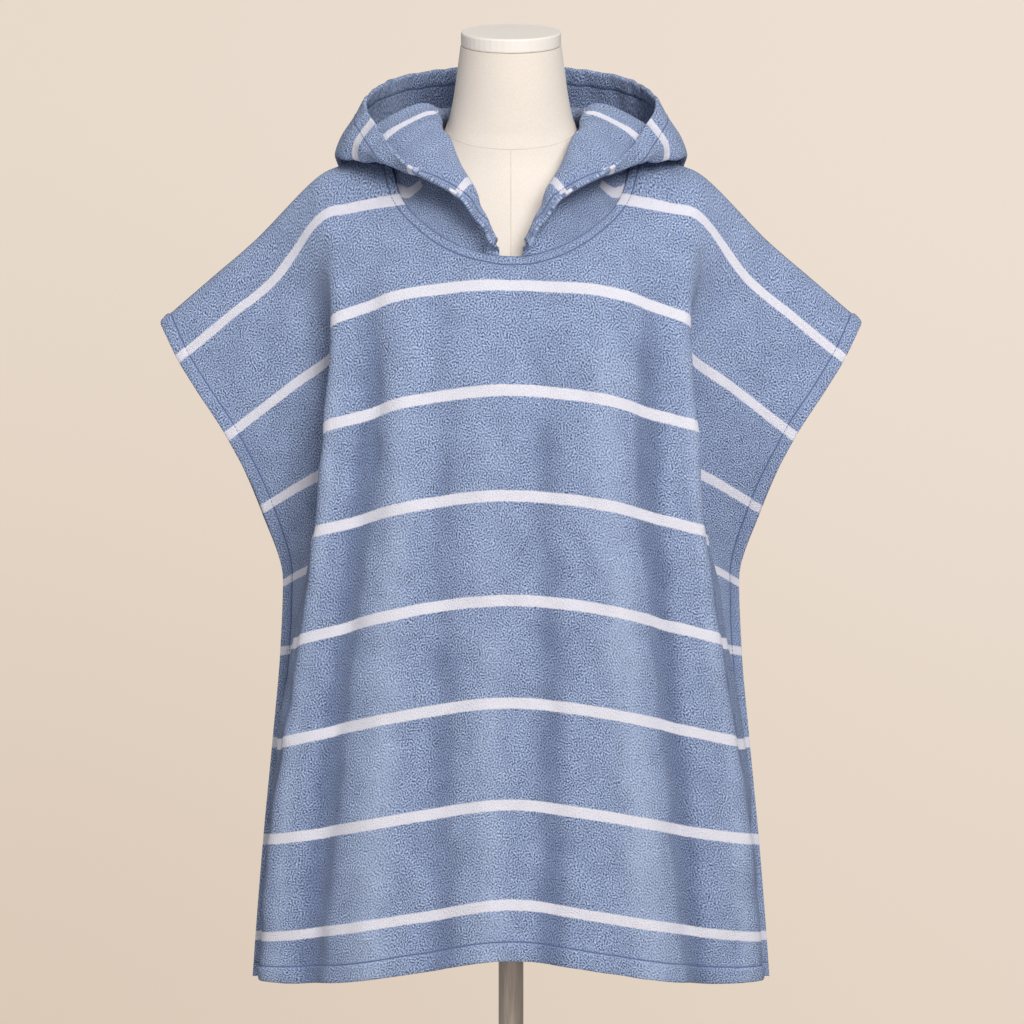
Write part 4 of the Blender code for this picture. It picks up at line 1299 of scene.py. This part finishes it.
@dataclass
class Studio:
    """Floor, world, lamps and camera."""

    distance: float = 6.0
    eye_height: float = 1.05
    frame_width: float = 1.05472        # metres across the picture at the pole
    picture_centre: tuple[float, float] = (0.00103, 1.02364)
    sensor: float = 36.0

    def camera(self) -> None:
        """A level camera in front of the poncho."""
        data = bpy.data.cameras.new("camera")
        data.sensor_width = self.sensor
        data.lens = self.sensor * self.distance / self.frame_width
        data.shift_x = self.picture_centre[0] / self.frame_width
        data.shift_y = (self.picture_centre[1] - self.eye_height) / self.frame_width
        data.clip_end = 60
        camera = bpy.data.objects.new("camera", data)
        camera.location = (0, -self.distance, self.eye_height)
        camera.rotation_euler = (math.pi / 2, 0, 0)
        bpy.context.scene.collection.objects.link(camera)
        bpy.context.scene.camera = camera

    @staticmethod
    def lamp(name: str, place: Triple, aim: Triple, size: float,
             power: float, colour: Triple) -> None:
        """A soft square lamp."""
        data = bpy.data.lights.new(name, "AREA")
        data.size, data.energy, data.color = size, power, colour
        lamp = bpy.data.objects.new(name, data)
        lamp.location = place
        away = Vector(place) - Vector(aim)
        lamp.rotation_euler = away.to_track_quat("Z", "Y").to_euler()
        bpy.context.scene.collection.objects.link(lamp)

    @staticmethod
    def world() -> None:
        """A cream surround, shown with painted shade that makes it a little darker low down and on
        the left, with an even soft light.
        """
        world = bpy.data.worlds.new("studio")
        bpy.context.scene.world = world
        world.use_nodes = True
        nodes = Nodes(world.node_tree)
        way = nodes.add("TexCoord").outputs["Generated"]
        split = nodes.add("SeparateXYZ", {"Vector": way})
        height = nodes.ramp(split.outputs["Z"], -0.115, 0.075)
        side = nodes.ramp(split.outputs["X"], -0.10, 0.10)
        # Painted shade on the surround: darker low down and on the left, lighter high up and on the
        # right.
        low = nodes.mix(side, (0.708, 0.583, 0.476, 1), (0.776, 0.663, 0.560, 1))
        high = nodes.mix(side, (0.805, 0.700, 0.598, 1), (0.850, 0.745, 0.652, 1))
        seen = nodes.mix(height, low, high)
        back = world.node_tree.nodes["Background"]
        path = nodes.add("LightPath").outputs["Is Camera Ray"]
        shown = nodes.mix(path, (0.86, 0.85, 0.84, 1), seen)
        nodes.feed(back, {"Color": shown, "Strength": nodes.ramp(path, 0.0, 1.0, 0.34, 1.0)})

    @staticmethod
    def floor(finish: Material) -> None:
        """A plain pale floor under the stand."""
        bpy.ops.object.select_all(action="DESELECT")
        bpy.ops.mesh.primitive_circle_add(vertices=96, radius=2.6, fill_type="NGON",
                                          location=(0, 0, -0.0006))
        floor = bpy.context.object
        floor.name = "floor"
        floor.data.materials.append(finish)

    def build(self, floor_finish: Material) -> None:
        """Set up everything around the part."""
        self.camera()
        self.world()
        self.floor(floor_finish)
        for lamp in LAMPS:
            self.lamp(*lamp)
        view = bpy.context.scene.view_settings
        view.view_transform = "Standard"
        view.look = "None"


FINISHES = {
    "sewing_thread": {"colour": (0.105, 0.150, 0.290), "roughness": 0.75, "contrast": 0.15,
                      "grain_scale": 1500.0},
    "jersey": {"colour": (0.800, 0.722, 0.645), "roughness": 0.88, "contrast": 0.045,
               "grain_scale": 700.0, "relief": 0.0004, "strength": 0.35, "sheen": 0.15},
    "jersey_seam": {"colour": (0.725, 0.645, 0.570), "roughness": 0.88, "contrast": 0.05},
    "cap_paint": {"colour": (0.850, 0.800, 0.750), "roughness": 0.5, "contrast": 0.015,
                  "grain_scale": 500.0, "strength": 0.1},
    "brushed_steel": {"colour": (0.60, 0.51, 0.44), "roughness": 0.34, "contrast": 0.14,
                      "grain_scale": 260.0, "stretch": (5.0, 5.0, 0.12), "strength": 0.15,
                      "metallic": 1.0},
    "powder_coat": {"colour": (0.780, 0.750, 0.700), "roughness": 0.45, "contrast": 0.03,
                    "grain_scale": 1200.0, "strength": 0.25},
    "floor_paint": {"colour": (0.80, 0.76, 0.71), "roughness": 0.8, "contrast": 0.01,
                    "grain_scale": 60.0},
}


def dress_stand(finishes: dict[str, Material]) -> None:
    """Give the CAD nodes of the stand their finishes."""
    for node, finish in finishes.items():
        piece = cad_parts[node]
        piece.data.materials.clear()
        piece.data.materials.append(finish)


def main() -> None:
    """Build every piece in order."""
    logging.basicConfig(level=logging.INFO, format="%(name)s: %(message)s")
    grain = grain_group()
    towelling = Towelling(towelling_group()).material()
    thread, jersey, seam, cap, steel, coat, ground = (
        GrainedFinish(name, grain, **values).material() for name, values in FINISHES.items())
    Studio().build(ground)
    dress_stand({"neck_cap": cap, "pole": steel, "base_plate": coat})
    drape = Drape()
    DressForm(jersey, seam).build()
    for side in Side:
        Panel(side, drape, towelling, thread).build()
    for hand in Hand:
        HoodHalf(hand, drape, towelling, thread).build()


if __name__ == "__main__":
    main()
